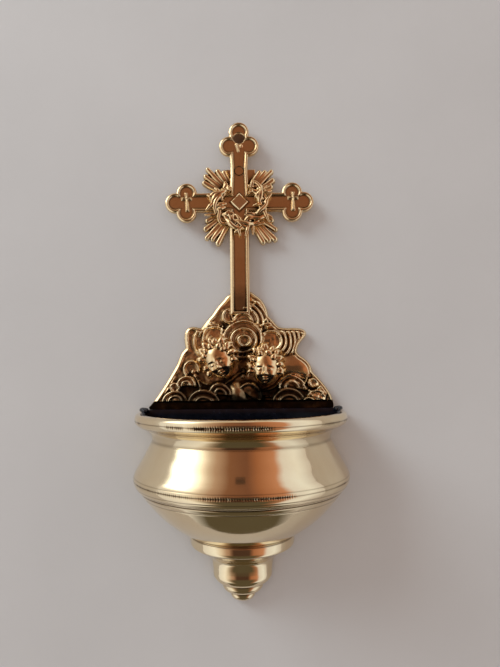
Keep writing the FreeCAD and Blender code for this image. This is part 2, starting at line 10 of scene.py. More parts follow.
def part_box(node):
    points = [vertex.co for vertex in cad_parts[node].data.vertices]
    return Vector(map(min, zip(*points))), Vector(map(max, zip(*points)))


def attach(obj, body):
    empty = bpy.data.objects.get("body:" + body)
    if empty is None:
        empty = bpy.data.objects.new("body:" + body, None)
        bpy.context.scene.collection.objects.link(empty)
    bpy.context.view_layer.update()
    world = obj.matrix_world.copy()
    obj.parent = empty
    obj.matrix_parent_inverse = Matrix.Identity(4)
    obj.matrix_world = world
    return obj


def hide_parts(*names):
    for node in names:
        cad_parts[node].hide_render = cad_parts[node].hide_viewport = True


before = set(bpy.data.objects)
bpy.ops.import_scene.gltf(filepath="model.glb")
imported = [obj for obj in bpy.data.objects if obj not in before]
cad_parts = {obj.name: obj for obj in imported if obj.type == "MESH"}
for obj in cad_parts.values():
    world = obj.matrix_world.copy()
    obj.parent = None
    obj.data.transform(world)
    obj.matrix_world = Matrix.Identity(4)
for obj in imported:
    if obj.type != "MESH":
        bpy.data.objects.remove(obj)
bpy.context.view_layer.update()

mm = 0.001


def boxMm(node):
    low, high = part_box(node)
    return low / mm, high / mm


def centreMm(node):
    low, high = boxMm(node)
    return (low + high) / 2


crossLow, crossHigh = boxMm("cross")
plateLow, plateHigh = boxMm("cloud_plate")
rivetLow, rivetHigh = boxMm("lozenge_rivet")
bowlHigh = boxMm("bowl_shell")[1]
screwHigh = boxMm("back_screws")[1]
finialLow, finialHigh = boxMm("finial")
linerHigh = boxMm("liner")[1]
armZ = centreMm("lozenge_rivet").z      # centre line of the arms
pinZ = centreMm("upper_pin").z
rimZ = bowlHigh.z                       # flat top of the bowl's rim
jointY = bowlHigh.y                     # plane that the bowl and finial are cut on
wallY = boxMm("bowl_back")[1].y
print("frame loaded:", len(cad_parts), "nodes")


# shared shaping

def smooth(t):
    t = np.clip(t, 0, 1)
    return t * t * (3 - 2 * t)


def rounded(t):
    return np.sqrt(np.clip(1 - t * t, 0, 1))


def bell(t):
    return np.exp(-t * t)


def swell(t):                           # 1 in the middle, easing to 0 at 1
    return 0.5 + 0.5 * np.cos(math.pi * np.clip(t, 0, 1))


def blurred(field, sigma):              # sigma in cells
    reach = max(1, int(3 * sigma))
    kernel = np.exp(-0.5 * (np.arange(-reach, reach + 1) / sigma) ** 2)
    kernel /= kernel.sum()
    out = np.pad(field, reach, mode="edge")
    for axis in (0, 1):
        length = out.shape[axis] - 2 * reach
        out = sum(weight * np.take(out, np.arange(i, i + length), axis) for i, weight in enumerate(kernel))
    return out


def unevenness(shape, sigma, seed):     # soft random hills, mostly within -1 to 1
    hills = blurred(np.random.default_rng(seed).standard_normal(shape), sigma)
    return hills / (2 * hills.std())


def insideBox(x, z, x0, x1, z0, z1):
    return np.minimum(np.minimum(x - x0, x1 - x), np.minimum(z - z0, z1 - z))


def insideDisc(x, z, cx, cz, radius):
    return radius - np.hypot(x - cx, z - cz)


def alongLine(x, z, a, b):              # distance to a line, and the share of the way along it
    dx, dz = b[0] - a[0], b[1] - a[1]
    share = np.clip(((x - a[0]) * dx + (z - a[1]) * dz) / max(dx * dx + dz * dz, 1e-9), 0, 1)
    return np.hypot(x - a[0] - share * dx, z - a[1] - share * dz), share


def nearLine(x, z, points):
    best, share = np.full(x.shape, 1e9), np.zeros(x.shape)
    spans = len(points) - 1
    for i in range(spans):
        away, t = alongLine(x, z, points[i], points[i + 1])
        share = np.where(away < best, (i + t) / spans, share)
        best = np.minimum(best, away)
    return best, share


def curveThrough(points, perSpan=6):    # smooth line through points of any dimension
    p = [np.array(q, float) for q in points]
    p = [2 * p[0] - p[1]] + p + [2 * p[-1] - p[-2]]
    out = []
    for a, b, c, d in zip(p, p[1:], p[2:], p[3:]):
        for t in np.arange(perSpan) / perSpan:
            out.append(0.5 * (2 * b + (c - a) * t + (2 * a - 5 * b + 4 * c - d) * t * t
                              + (3 * b - a - 3 * c + d) * t ** 3))
    return np.array(out + [p[-2]])


def insideOutline(x, z, corners):       # signed distance to a closed outline, positive inside
    best = np.full(x.shape, 1e9)
    within = np.zeros(x.shape, bool)
    for a, b in zip(corners, np.roll(corners, -1, axis=0)):
        best = np.minimum(best, alongLine(x, z, a, b)[0])
        if a[1] != b[1]:
            crosses = (a[1] > z) != (b[1] > z)
            within ^= crosses & (x < (b[0] - a[0]) * (z - a[1]) / (b[1] - a[1]) + a[0])
    return np.where(within, best, -best)


# shared mesh work

def newObject(name, mesh):
    thing = bpy.data.objects.new(name, mesh)
    bpy.context.scene.collection.objects.link(thing)
    return thing


def opened(mesh):
    body = bmesh.new()
    body.from_mesh(mesh)
    return body


def closed(body, mesh):
    body.to_mesh(mesh)
    body.free()


def facedOut(body, mesh):
    bmesh.ops.recalc_face_normals(body, faces=body.faces)
    closed(body, mesh)


def finishMesh(mesh, sharpDegrees):
    mesh.validate()
    mesh.shade_smooth()
    mesh.set_sharp_from_angle(angle=math.radians(sharpDegrees))


def giveShade(mesh, name, values):
    attribute = mesh.attributes.get(name) or mesh.attributes.new(name, "FLOAT", "POINT")
    attribute.data.foreach_set("value", np.ascontiguousarray(values, np.float32))


def outerEdges(faces):                  # directed edges that only one face has
    seen = set()
    for f in faces:
        seen.update(zip(f, f[1:] + f[:1]))
    return [e for e in seen if (e[1], e[0]) not in seen]


def ringFaces(rings, n):                # skin over equal rings of n points, with a cap at both ends
    faces = []
    for i in range(rings - 1):
        for k in range(n):
            j = (k + 1) % n
            faces.append((i * n + k, (i + 1) * n + k, (i + 1) * n + j, i * n + j))
    return faces + [tuple(range(n)), tuple(reversed(range((rings - 1) * n, rings * n)))]


casting = {
    "chamfer": 0.25,            # along the back edge
    "grain": 1.2,               # size of the fine unevenness
    "near": 0.8,                # ridges and corners stand off what is this far round them
    "wide": 2.4,                # the same for broad hollows
    "ridge": 0.30,              # height that is rubbed fully bright
    "corner": (0.05, 0.45),     # depth where painted shade and old lacquer start to darken a corner, and how much more fills it
    "basin": (0.20, 0.85),      # the same for a broad hollow
    "evenings": 3,              # passes that even out the small steps of the grid along an edge
}


# hollow stands for old lacquer and painted shade in corners and broad hollows
def castShades(front, d, step, polish):
    around = blurred(front, casting["near"] / step)
    broad = blurred(np.where(d > 0, front, front * 0.5), casting["wide"] / step)
    ridge = np.clip(np.maximum((front - around) / casting["ridge"], polish), 0, 1)
    (cornerFrom, cornerFull), (basinFrom, basinFull) = casting["corner"], casting["basin"]
    hollow = np.maximum((around - front - cornerFrom) / cornerFull, (broad - front - basinFrom) / basinFull)
    return ridge, np.clip(hollow, 0, 1)


def gridFaces(keep):                    # faces over the kept points of a grid, and which points they use
    index = np.where(keep, np.arange(keep.size).reshape(keep.shape), -1)
    cells = np.stack([index[:-1, :-1], index[1:, :-1], index[1:, 1:], index[:-1, 1:]], -1).reshape(-1, 4)
    count = (cells >= 0).sum(1)
    faces = [tuple(c) for c in cells[count == 4].tolist()]
    faces += [tuple(i for i in c if i >= 0) for c in cells[count == 3].tolist()]
    used = sorted({i for f in faces for i in f})
    order = {old: new for new, old in enumerate(used)}
    return [tuple(order[i] for i in f) for f in faces], np.array(used)


def evenRims(points, rims, rimPoints):
    following = dict(rims)
    before = {b: a for a, b in rims}
    ring = [i for i in rimPoints if i in following and i in before]
    for _ in range(casting["evenings"]):
        sides = points[[following[i] for i in ring]] + points[[before[i] for i in ring]]
        points[ring] = 0.5 * points[ring] + 0.25 * sides


# Closed casting with a flat back. inside(x, z) is the distance in from the edge and
# height(x, z) the front's height towards the viewer, both in millimetres.
def castPlate(name, piece, inside, height, low, high, backY, darkenBy=None, polish=0.0):
    step, edgeRound = piece["step"], piece["edge"]
    xs, zs = (np.arange(low[k] - 3 * step, high[k] + 3 * step, step) for k in (0, 1))
    x, z = np.meshgrid(xs, zs, indexing="ij")
    d = inside(x, z)
    front = blurred(height(x, z), piece["soften"])
    front = front + piece["rough"] * unevenness(d.shape, casting["grain"] / step, piece["seed"])
    ridge, hollow = castShades(front, d, step, polish)
    # painted shade and shadow from the piece, and for the cloud a darkening low down
    if darkenBy is not None:
        hollow = np.clip(hollow + darkenBy(x, z), 0, 1)
    edge = np.clip(edgeRound - d, 0, edgeRound)
    front = front - edgeRound + np.sqrt(edgeRound ** 2 - edge ** 2)
    gx, gz = np.gradient(d, step)
    size = np.maximum(np.hypot(gx, gz), 1e-6)
    snap = np.abs(d) < 0.5 * step       # points near the edge move onto it
    x = np.where(snap, x - d * gx / size ** 2, x)
    z = np.where(snap, z - d * gz / size ** 2, z)
    faces, pick = gridFaces(d > -0.5 * step)
    points = np.stack([x.ravel()[pick], -front.ravel()[pick], z.ravel()[pick]], 1)
    inward = np.stack([(gx / size).ravel()[pick], (gz / size).ravel()[pick]], 1)
    rims = outerEdges(faces)
    rimPoints = sorted({i for e in rims for i in e})
    evenRims(points, rims, rimPoints)
    wall = points[rimPoints].copy()
    wall[:, 1] = backY - casting["chamfer"]
    lip = wall.copy()
    lip[:, 1] = backY
    lip[:, [0, 2]] += inward[rimPoints] * casting["chamfer"]
    firstLip = len(points) + len(rimPoints)
    wallOf = {i: len(points) + k for k, i in enumerate(rimPoints)}
    lipOf = {i: firstLip + k for k, i in enumerate(rimPoints)}
    for a, b in rims:
        faces.append((b, a, wallOf[a], wallOf[b]))
        faces.append((wallOf[b], wallOf[a], lipOf[a], lipOf[b]))
    mesh = bpy.data.meshes.new(name)
    mesh.from_pydata((np.concatenate([points, wall, lip]) * mm).tolist(), [], faces)
    plain = np.zeros(2 * len(rimPoints))
    giveShade(mesh, "ridge", np.concatenate([ridge.ravel()[pick], plain]))
    giveShade(mesh, "hollow", np.concatenate([hollow.ravel()[pick], plain]))
    body = opened(mesh)
    back = [e for e in body.edges if e.is_boundary and min(v.index for v in e.verts) >= firstLip]
    bmesh.ops.triangle_fill(body, use_beauty=True, edges=back)
    facedOut(body, mesh)
    finishMesh(mesh, 42)
    return newObject(name, mesh)


def tubeInto(body, path, radii, sides=10):      # closed round bar along a path, with domed ends
    path = np.array(path, float)
    radii = np.broadcast_to(np.array(radii, float), len(path)).copy()
    tangents = np.gradient(path, axis=0)
    tangents /= np.linalg.norm(tangents, axis=1)[:, None]
    aslant = [0.31, 0.87, 0.38]         # no bar starts off this way
    side = np.cross(tangents[0], aslant)
    dome = [(-0.95, 0.35), (-0.6, 0.8)]         # set back and radius, as shares of the bar's radius
    stations = [(0, off, share) for off, share in dome] + [(i, 0.0, 1.0) for i in range(len(path))]
    stations += [(len(path) - 1, -off, share) for off, share in reversed(dome)]
    rings = []
    for i, off, share in stations:
        t = tangents[i]
        side = side - t * np.dot(side, t)
        side /= np.linalg.norm(side)
        other = np.cross(t, side)
        centre = path[i] + t * off * radii[i]
        ring = []
        for k in range(sides):
            turn = 2 * math.pi * k / sides
            spoke = math.cos(turn) * side + math.sin(turn) * other
            ring.append(body.verts.new((centre + radii[i] * share * spoke) * mm))
        rings.append(ring)
    for a, b in zip(rings, rings[1:]):
        for k in range(sides):
            body.faces.new([a[k], a[(k + 1) % sides], b[(k + 1) % sides], b[k]])
    body.faces.new(list(reversed(rings[0])))
    body.faces.new(rings[-1])


def ballInto(body, centre, radii):
    made = bmesh.ops.create_icosphere(body, subdivisions=3, radius=mm)
    for v in made["verts"]:
        v.co = Vector([c * r for c, r in zip(v.co, radii)]) + Vector(centre) * mm


def pegInto(body, x, z, radius, frontY, endY):       # flat-ended peg towards the wall
    turned90 = Matrix.Rotation(math.radians(90), 4, "X")
    place = Matrix.Translation(Vector((x, (frontY + endY) / 2, z)) * mm) @ turned90
    bmesh.ops.create_cone(body, cap_ends=True, cap_tris=True, segments=32, radius1=radius * mm,
                          radius2=radius * mm, depth=(endY - frontY) * mm, matrix=place)


def fusedObject(name, body, voxel, relax):      # one skin round overlapping bodies
    mesh = bpy.data.meshes.new(name)
    facedOut(body, mesh)
    thing = newObject(name, mesh)
    remesh = thing.modifiers.new("remesh", "REMESH")
    remesh.mode = "VOXEL"
    remesh.voxel_size = voxel * mm
    soft = thing.modifiers.new("soften", "SMOOTH")
    soft.iterations = relax
    soft.factor = 0.5
    depsgraph = bpy.context.evaluated_depsgraph_get()
    made = bpy.data.meshes.new_from_object(thing.evaluated_get(depsgraph))
    thing.modifiers.clear()
    thing.data = made
    made.name = name
    return thing


def dropSpecks(mesh, least):            # closed crumbs that a remesh leaves between two overlapping bodies
    body = opened(mesh)
    seen = set()
    crumbs = []
    for first in body.verts:
        if first in seen:
            continue
        seen.add(first)
        bit = [first]
        for v in bit:
            others = [edge.other_vert(v) for edge in v.link_edges]
            fresh = [other for other in others if other not in seen]
            seen.update(fresh)
            bit += fresh
        if len(bit) < least:
            crumbs += bit
    bmesh.ops.delete(body, geom=crumbs, context="VERTS")
    closed(body, mesh)


formShade = {
    "passes": 6,                # smoothing passes that give the form each point stands off
    "ridge": (0.02, 0.10),      # height where brightness starts, and how much more is full
    "hollow": (0.005, 0.08),
}


def shadeByForm(mesh):                  # ridge and hollow from how each point stands off its neighbours; hollow brings old lacquer and painted shade
    count = len(mesh.vertices)
    co = np.empty(count * 3)
    mesh.vertices.foreach_get("co", co)
    co = co.reshape(-1, 3) / mm
    normals = np.empty(count * 3)
    mesh.vertex_normals.foreach_get("vector", normals)
    edges = np.empty(len(mesh.edges) * 2, int)
    mesh.edges.foreach_get("vertices", edges)
    a, b = edges.reshape(-1, 2).T
    degree = np.bincount(np.concatenate([a, b]), minlength=count)[:, None]
    mean = co.copy()
    for _ in range(formShade["passes"]):
        total = np.zeros_like(mean)
        np.add.at(total, a, mean[b])
        np.add.at(total, b, mean[a])
        mean = total / np.maximum(degree, 1)
    stand = ((co - mean) * normals.reshape(-1, 3)).sum(1)
    for name, height in (("ridge", stand), ("hollow", -stand)):
        start, full = formShade[name]
        giveShade(mesh, name, np.clip((height - start) / full, 0, 1))


# materials

class Maker:                            # short ways to wire nodes
    def __init__(self, owner):
        self.tree = owner.node_tree

    def add(self, kind, **settings):
        node = self.tree.nodes.new("ShaderNode" + kind)
        for key, value in settings.items():
            setattr(node, key, value)
        return node

    def link(self, source, target):
        self.tree.links.new(source, target)

    def place(self, scale=(1, 1, 1)):
        coords = self.add("TexCoord")
        mapping = self.add("Mapping")
        mapping.inputs["Scale"].default_value = scale
        self.link(coords.outputs["Object"], mapping.inputs["Vector"])
        return mapping.outputs["Vector"]

    def split(self, vector):
        node = self.add("SeparateXYZ")
        self.link(vector, node.inputs["Vector"])
        return [node.outputs[axis] for axis in "XYZ"]

    def noise(self, scale, detail=3.0, rough=0.55, stretch=(1, 1, 1)):
        node = self.add("TexNoise")
        node.inputs["Scale"].default_value = scale
        node.inputs["Detail"].default_value = detail
        node.inputs["Roughness"].default_value = rough
        self.link(self.place(stretch), node.inputs["Vector"])
        return node.outputs["Fac"]

    def spread(self, source, low, high, outLow=0.0, outHigh=1.0):
        node = self.add("MapRange")
        for key, value in zip(("From Min", "From Max", "To Min", "To Max"), (low, high, outLow, outHigh)):
            node.inputs[key].default_value = value
        self.link(source, node.inputs["Value"])
        return node.outputs["Result"]

    def fade(self, source, low, high):
        return self.spread(source, low, high, 1.0, 0.0)

    def maths(self, operation, *values):
        node = self.add("Math", operation=operation)
        for socket, value in zip(node.inputs, values):
            if isinstance(value, (int, float)):
                socket.default_value = value
            else:
                self.link(value, socket)
        return node.outputs[0]

    def times(self, a, b):
        return self.maths("MULTIPLY", a, b)

    def mix(self, factor, a, b):
        node = self.add("Mix", data_type="RGBA")
        for key, value in ((0, factor), (6, a), (7, b)):
            if isinstance(value, (int, float)):
                node.inputs[key].default_value = value
            elif isinstance(value, tuple):
                node.inputs[key].default_value = (*value, 1)
            else:
                self.link(value, node.inputs[key])
        return node.outputs[2]

    def shade(self, name):
        return self.add("Attribute", attribute_name=name).outputs["Fac"]

    def bump(self, height, strength, distance, base=None):
        node = self.add("Bump")
        node.inputs["Strength"].default_value = strength
        node.inputs["Distance"].default_value = distance
        self.link(height, node.inputs["Height"])
        if base is not None:
            self.link(base, node.inputs["Normal"])
        return node.outputs["Normal"]


def newMaterial(name):
    material = bpy.data.materials.new(name)
    material.use_nodes = True
    nodes = material.node_tree.nodes
    nodes.clear()
    out = nodes.new("ShaderNodeOutputMaterial")
    shader = nodes.new("ShaderNodeBsdfPrincipled")
    material.node_tree.links.new(shader.outputs["BSDF"], out.inputs["Surface"])
    return material, shader, Maker(material)


# Noise scales are per metre. Bumps are strength and depth in metres.
castLook = {
    "polished": (0.93, 0.78, 0.50),     # high places, rubbed bright
    "field": (0.86, 0.62, 0.34),        # flats between them
    "lacquerAndShade": (0.085, 0.042, 0.016),   # old lacquer and painted shade in the hollows
    "deepShade": (0.022, 0.017, 0.011),     # painted shade, near black, where the hollows are deepest
    "deepShadeFrom": (0.75, 1.1),
    "gloss": 0.18,
    "dull": 0.38,
    "clouds": 160,
    "fine": 900,
    "skin": (700, 0.25, 0.00012),       # scale, strength and depth of the cast skin
    "pits": (3000, 0.18, 0.00004),
}
turnedLook = {
    "bright": (0.90, 0.77, 0.53),
    "warm": (0.81, 0.61, 0.37),
    "cornerShade": (0.13, 0.075, 0.03),
    # painted shade, near black, in the deepest grooves and tool marks
    "deepShade": (0.012, 0.008, 0.005),
    "deepShadeFrom": (0.6, 0.95),
    "gloss": 0.065,
    "clouds": 70,
    "scratches": 600,
    "toolLines": 2600.0,                # fine lathe lines
    "toolBump": (0.10, 0.00002),
    "waves": (45, 0.12, 0.0004),        # scale, strength and depth of the hand polish
}
plainLook = {                           # colour and gloss
    "sheetBrass": ((0.70, 0.53, 0.28), 0.28),
    "fixingBrass": ((0.72, 0.50, 0.26), 0.24),
}
navyLook = {
    # dark navy, darkened further to near black as painted shade for the inside of the bowl
    "navyAndShade": (0.0016, 0.0026, 0.006),
    "dust": (0.004, 0.007, 0.016),
    "gloss": 0.13,
    "dull": 0.30,
    "clouds": 220,
    "ripple": (160, 0.25, 0.0003),
}


def castBrass():
    material, shader, make = newMaterial("castBrass")
    ridge, hollow = make.shade("ridge"), make.shade("hollow")
    clouding = make.noise(castLook["clouds"], 4)
    fine = make.noise(castLook["fine"], 5, 0.65)
    hollowMask = make.times(hollow, make.spread(clouding, 0.3, 0.7, 0.85, 1.2))
    ridgeMask = make.times(ridge, make.spread(fine, 0.3, 0.7, 0.8, 1.1))
    base = make.mix(make.spread(clouding, 0.35, 0.65, 0.0, 0.35), castLook["field"], castLook["polished"])
    base = make.mix(ridgeMask, base, castLook["polished"])
    # the hollows get old lacquer and painted shade, near black where deepest
    base = make.mix(hollowMask, base, castLook["lacquerAndShade"])
    base = make.mix(make.spread(hollowMask, *castLook["deepShadeFrom"]), base, castLook["deepShade"])
    make.link(base, shader.inputs["Base Color"])
    shader.inputs["Metallic"].default_value = 1.0
    rough = make.maths("ADD", make.spread(hollow, 0, 1, castLook["gloss"], castLook["dull"]),
                       make.spread(fine, 0.3, 0.7, -0.03, 0.05))
    make.link(rough, shader.inputs["Roughness"])
    normal = None
    for (scale, strength, depth), detail in ((castLook["skin"], 4), (castLook["pits"], 3)):
        normal = make.bump(make.noise(scale, detail, 0.6), strength, depth, normal)
    make.link(normal, shader.inputs["Normal"])
    return material


def turnedBrass():
    material, shader, make = newMaterial("turnedBrass")
    clouding = make.noise(turnedLook["clouds"], 4)
    scratch = make.noise(turnedLook["scratches"], 4, 0.7, (1, 1, 9))
    groove = make.shade("hollow")
    base = make.mix(make.spread(clouding, 0.3, 0.7, 0.0, 0.5), turnedLook["bright"], turnedLook["warm"])
    # painted shade in the grooves, tool marks, corners and inside, near black where deepest
    base = make.mix(make.spread(groove, 0.0, 0.6), base, turnedLook["cornerShade"])
    base = make.mix(make.spread(groove, *turnedLook["deepShadeFrom"]), base, turnedLook["deepShade"])
    make.link(base, shader.inputs["Base Color"])
    shader.inputs["Metallic"].default_value = 1.0
    gloss = turnedLook["gloss"]
    rough = make.spread(scratch, 0.3, 0.7, gloss - 0.02, gloss + 0.05)
    rough = make.maths("ADD", rough, make.times(groove, 0.25))
    make.link(rough, shader.inputs["Roughness"])
    lines = make.add("TexNoise", noise_dimensions="1D")
    lines.inputs["Scale"].default_value = turnedLook["toolLines"]
    lines.inputs["Detail"].default_value = 2.0
    make.link(make.split(make.place())[2], lines.inputs["W"])
    cut = make.bump(lines.outputs["Fac"], *turnedLook["toolBump"])
    scale, strength, depth = turnedLook["waves"]
    make.link(make.bump(make.noise(scale, 2), strength, depth, cut), shader.inputs["Normal"])
    return material


def plainBrass(name):                   # sheet and fixings: dull, with rubbed patches
    colour, gloss = plainLook[name]
    material, shader, make = newMaterial(name)
    clouding = make.noise(120, 5, 0.6)
    base = make.mix(make.spread(clouding, 0.35, 0.7), colour, tuple(c * 0.55 for c in colour))
    make.link(base, shader.inputs["Base Color"])
    shader.inputs["Metallic"].default_value = 1.0
    make.link(make.spread(make.noise(500, 4), 0.3, 0.7, gloss, gloss + 0.16), shader.inputs["Roughness"])
    grain = make.noise(1400, 3, 0.6, (1, 1, 0.05))
    make.link(make.bump(grain, 0.3, 0.00003), shader.inputs["Normal"])
    return material


def navyGloss():
    material, shader, make = newMaterial("navyGloss")
    dusty = make.noise(navyLook["clouds"], 5, 0.65)
    base = make.mix(make.spread(dusty, 0.45, 0.75), navyLook["navyAndShade"], navyLook["dust"])
    make.link(base, shader.inputs["Base Color"])
    make.link(make.spread(dusty, 0.3, 0.7, navyLook["gloss"], navyLook["dull"]), shader.inputs["Roughness"])
    shader.inputs["IOR"].default_value = 1.5
    scale, strength, depth = navyLook["ripple"]
    make.link(make.bump(make.noise(scale, 3), strength, depth), shader.inputs["Normal"])
    return material


cast = castBrass()
turned = turnedBrass()
sheet, fixings = (plainBrass(name) for name in plainLook)
navy = navyGloss()
print("materials made")


def dress(thing, material, stands, body="stoup"):
    thing.data.materials.clear()
    thing.data.materials.append(material)
    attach(thing, body)
    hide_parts(stands)
    return thing


# cross

cross = {
    "halfBar": 4.5,
    "waist": 0.5,               # the upper shaft is narrower than the rest by this, over the next value
    "waistReach": 6.5,
    "border": 1.7,              # raised border, edge to the foot of its inner slope
    "slope": 0.60,
    "bevel": 1.05,              # slanting part of the border outside, and the share of it that faces right
    "bevelLeast": 0.4,
    "bevelDrop": 0.6,
    "fieldDepth": 0.75,
    "lobe": 4.8,
    "lobeReach": 5.3,
    "topReach": 6.8,            # the top bud is longer
    "lobeSpread": 4.6,
    "budStart": 7.5,            # a bud's dish starts this far before its middle, over the next value
    "budEase": 3.0,
    "budDepth": 0.25,
    "dishRim": (1.75, 0.7, 0.6),        # steep rim of the dish: end, reach and share of the depth
    "dishBowl": (1.0, 3.6, 0.4),        # its soft bowl: start, reach and share
    "hole": 2.5,
    "holeLip": 0.35,
    "pinHole": 2.12,
    "tokenHeight": 9.2,         # small cross on each side bud
    "tokenWidth": 4.9,
    "tokenBeam": 1.6,           # its beam above its middle
    "tokenRaised": 0.3,         # its middle above the arms' centre line
    "tokenProud": 1.2,
    "tokenStem": (0.60, 0.05),          # half width at the beam, and how much it flares
    "tokenArm": (0.52, 0.15),
    "tokens": [(0.2, 0.09), (0.4, 0.0)],        # how far each is off the bud's middle, and its lean
    "stub": [(-1.0, -3.0), (-0.3, -6.4)],       # what is left of a token below the hole
    "stubRise": 0.8,
    "knob": (1.1, -4.0, 0.7, 0.35),     # x, z, radius and rise of the lump beside it
    # painted shade along the border's foot, and painted shadow round the pin and round the rivet: strength
    # and width
    "borderShade": (0.45, 0.30),
    "pinShadow": (0.7, 0.30),
    "rivetShadow": (0.8, 0.55),
    "footShade": (0.55, -70.0, 7.0),     # painted shade towards the foot of the shaft: strength, where it starts and over what length
    "lumps": (0.07, 4.4, 7),    # height, size and seed of the unevenness
    "step": 0.16,
    "edge": 0.25,
    "soften": 0.8,
    "rough": 0.02,
    "seed": 3,
}


def barHalf(z):
    return cross["halfBar"] - cross["waist"] * bell((z - pinZ) / cross["waistReach"])


def budSeats():                 # middle of each bud, which way it points, and how far its end lobe is out
    reach, tall = cross["lobeReach"], cross["topReach"]
    line = reach + cross["lobe"]
    return [(0.0, crossHigh.z - cross["lobe"] - tall, 0, 1, tall),
            (crossLow.x + line, armZ, -1, 0, reach), (crossHigh.x - line, armZ, 1, 0, reach)]


def insideBud(x, z, seat):
    cx, cz, dx, dz, reach = seat
    spread, lobe = cross["lobeSpread"], cross["lobe"]
    best = insideDisc(x, z, cx + dx * reach, cz + dz * reach, lobe)
    for side in (-1, 1):
        best = np.maximum(best, insideDisc(x, z, cx + side * dz * spread, cz + side * dx * spread, lobe))
    along = (x - cx) * dx + (z - cz) * dz
    across = np.abs((x - cx) * dz - (z - cz) * dx)
    half = barHalf(z) if dz > 0 else cross["halfBar"]
    neck = np.minimum(half - across, np.minimum(along + 2 * cross["halfBar"], reach - along))
    return np.maximum(best, neck)


def insideCross(x, z):
    half = cross["halfBar"]
    buds = budSeats()
    best = np.minimum(barHalf(z) - np.abs(x), np.minimum(z - crossLow.z, buds[0][1] - z))
    best = np.maximum(best, insideBox(x, z, buds[1][0], buds[2][0], armZ - half, armZ + half))
    for seat in buds:
        best = np.maximum(best, insideBud(x, z, seat))
    return best


def insideCrossHoles(x, z):
    best = insideCross(x, z)
    best = np.minimum(best, -insideDisc(x, z, 0, 0, cross["hole"]))
    return np.minimum(best, -insideDisc(x, z, 0, pinZ, cross["pinHole"]))


def insideToken(x, z, cx, lean):        # small Latin cross with flared ends
    u = (x - cx) + lean * (z - armZ)
    w = z - armZ - cross["tokenRaised"]
    tall, wide = cross["tokenHeight"] / 2, cross["tokenWidth"] / 2
    beam = w - cross["tokenBeam"]
    (stemHalf, stemFlare), (armHalf, armFlare) = cross["tokenStem"], cross["tokenArm"]
    stem = np.minimum(stemHalf + stemFlare * np.abs(beam) - np.abs(u), tall - np.abs(w))
    arms = np.minimum(armHalf + armFlare * np.abs(u) - np.abs(beam), wide - np.abs(u))
    return np.maximum(stem, arms)


def bevelWidth(inside, step, widest, least):        # bevels are widest where they face left
    faceLeft = np.clip(np.gradient(inside, step, axis=0), 0, 1)
    return widest * (least + (1 - least) * blurred(faceLeft, 0.9 / step))


# a soft painted line of shade
def shadeLine(away, strength, width):
    return strength * bell(away / width)


# painted shade and shadow on the cross: along the border's foot, at the shaft's foot, round the pin and the
# rivet, and under the crown
def crossShade(x, z):
    solid = insideCross(x, z)
    darkening = crownShadow(x, z) + shadeLine(solid - cross["border"] - 0.05, *cross["borderShade"])
    strength, start, length = cross["footShade"]
    darkening = darkening + strength * smooth((start - z) / length) * smooth((solid - 1.3) / 0.5)
    darkening = darkening + shadeLine(np.hypot(x, z - pinZ) - cross["pinHole"] - 0.15, *cross["pinShadow"])
    half = (rivetHigh.x - rivetLow.x) / 2
    return darkening + shadeLine(np.abs(x) + np.abs(z - armZ) - half - 0.35, *cross["rivetShadow"])


def crossHeight(x, z):
    top = -crossLow.y
    field = top - cross["fieldDepth"]
    solid = insideCross(x, z)
    inBud = np.zeros(x.shape)
    for cx, cz, dx, dz, _ in budSeats():
        along = (x - cx) * dx + (z - cz) * dz
        inBud = np.maximum(inBud, smooth((along + cross["budStart"]) / cross["budEase"]))
    slope = smooth((cross["border"] - solid) / cross["slope"])
    (rimEnd, rimReach, rimShare), (bowlStart, bowlReach, bowlShare) = cross["dishRim"], cross["dishBowl"]
    dish = rimShare * smooth((rimEnd - solid) / rimReach)
    dish = dish + bowlShare * np.clip(1 - (solid - bowlStart) / bowlReach, 0, 1) ** 2
    low = field - cross["budDepth"] * inBud
    height = low + (top - low) * (slope + (dish - slope) * inBud)
    bevel = bevelWidth(solid, cross["step"], cross["bevel"], cross["bevelLeast"])
    height = height - cross["bevelDrop"] * (1 - np.clip(solid / bevel, 0, 1))
    for seat, (off, lean) in zip(budSeats()[1:], cross["tokens"]):
        mark = insideToken(x, z, seat[0] + off, lean)
        height = np.maximum(height, field - 0.2 + cross["tokenProud"] * smooth((mark + 0.25) / 0.9))
    away, share = alongLine(x, z, *cross["stub"])
    stub = rounded(away / (0.75 - 0.35 * share)) * (away < 0.7)
    height = np.maximum(height, field + cross["stubRise"] * stub)
    knobX, knobZ, radius, rise = cross["knob"]
    away = np.hypot(x - knobX, (z - knobZ) / 1.3)
    height = np.maximum(height, field + rise * rounded(away / radius) * (away < radius))
    lumps, size, seed = cross["lumps"]
    height = height + lumps * unevenness(x.shape, size / cross["step"], seed)
    holeEdge = np.hypot(x, z) - cross["hole"]
    return height - cross["holeLip"] * np.exp(-np.clip(holeEdge, 0, None) / 0.25) * (holeEdge > -0.6)


def makeCross():
    thing = castPlate("castCross", cross, insideCrossHoles, crossHeight, (crossLow.x, crossLow.z),
                      (crossHigh.x, crossHigh.z), crossHigh.y, crossShade)
    return dress(thing, cast, "cross")


lozenge = {                             # flat diamond with bevelled edges, over the crossing
    "lean": (-0.02, 0.03),      # the face leans a little: rise along x and z
    "faceDrop": 0.15,           # below the top of its box
    "bevel": 0.55,
    "bevelDrop": 0.45,
    "thick": 1.0,               # above the cross
    "step": 0.12,
    "edge": 0.1,
    "soften": 0.6,
    "rough": 0.015,
    "seed": 5,
}


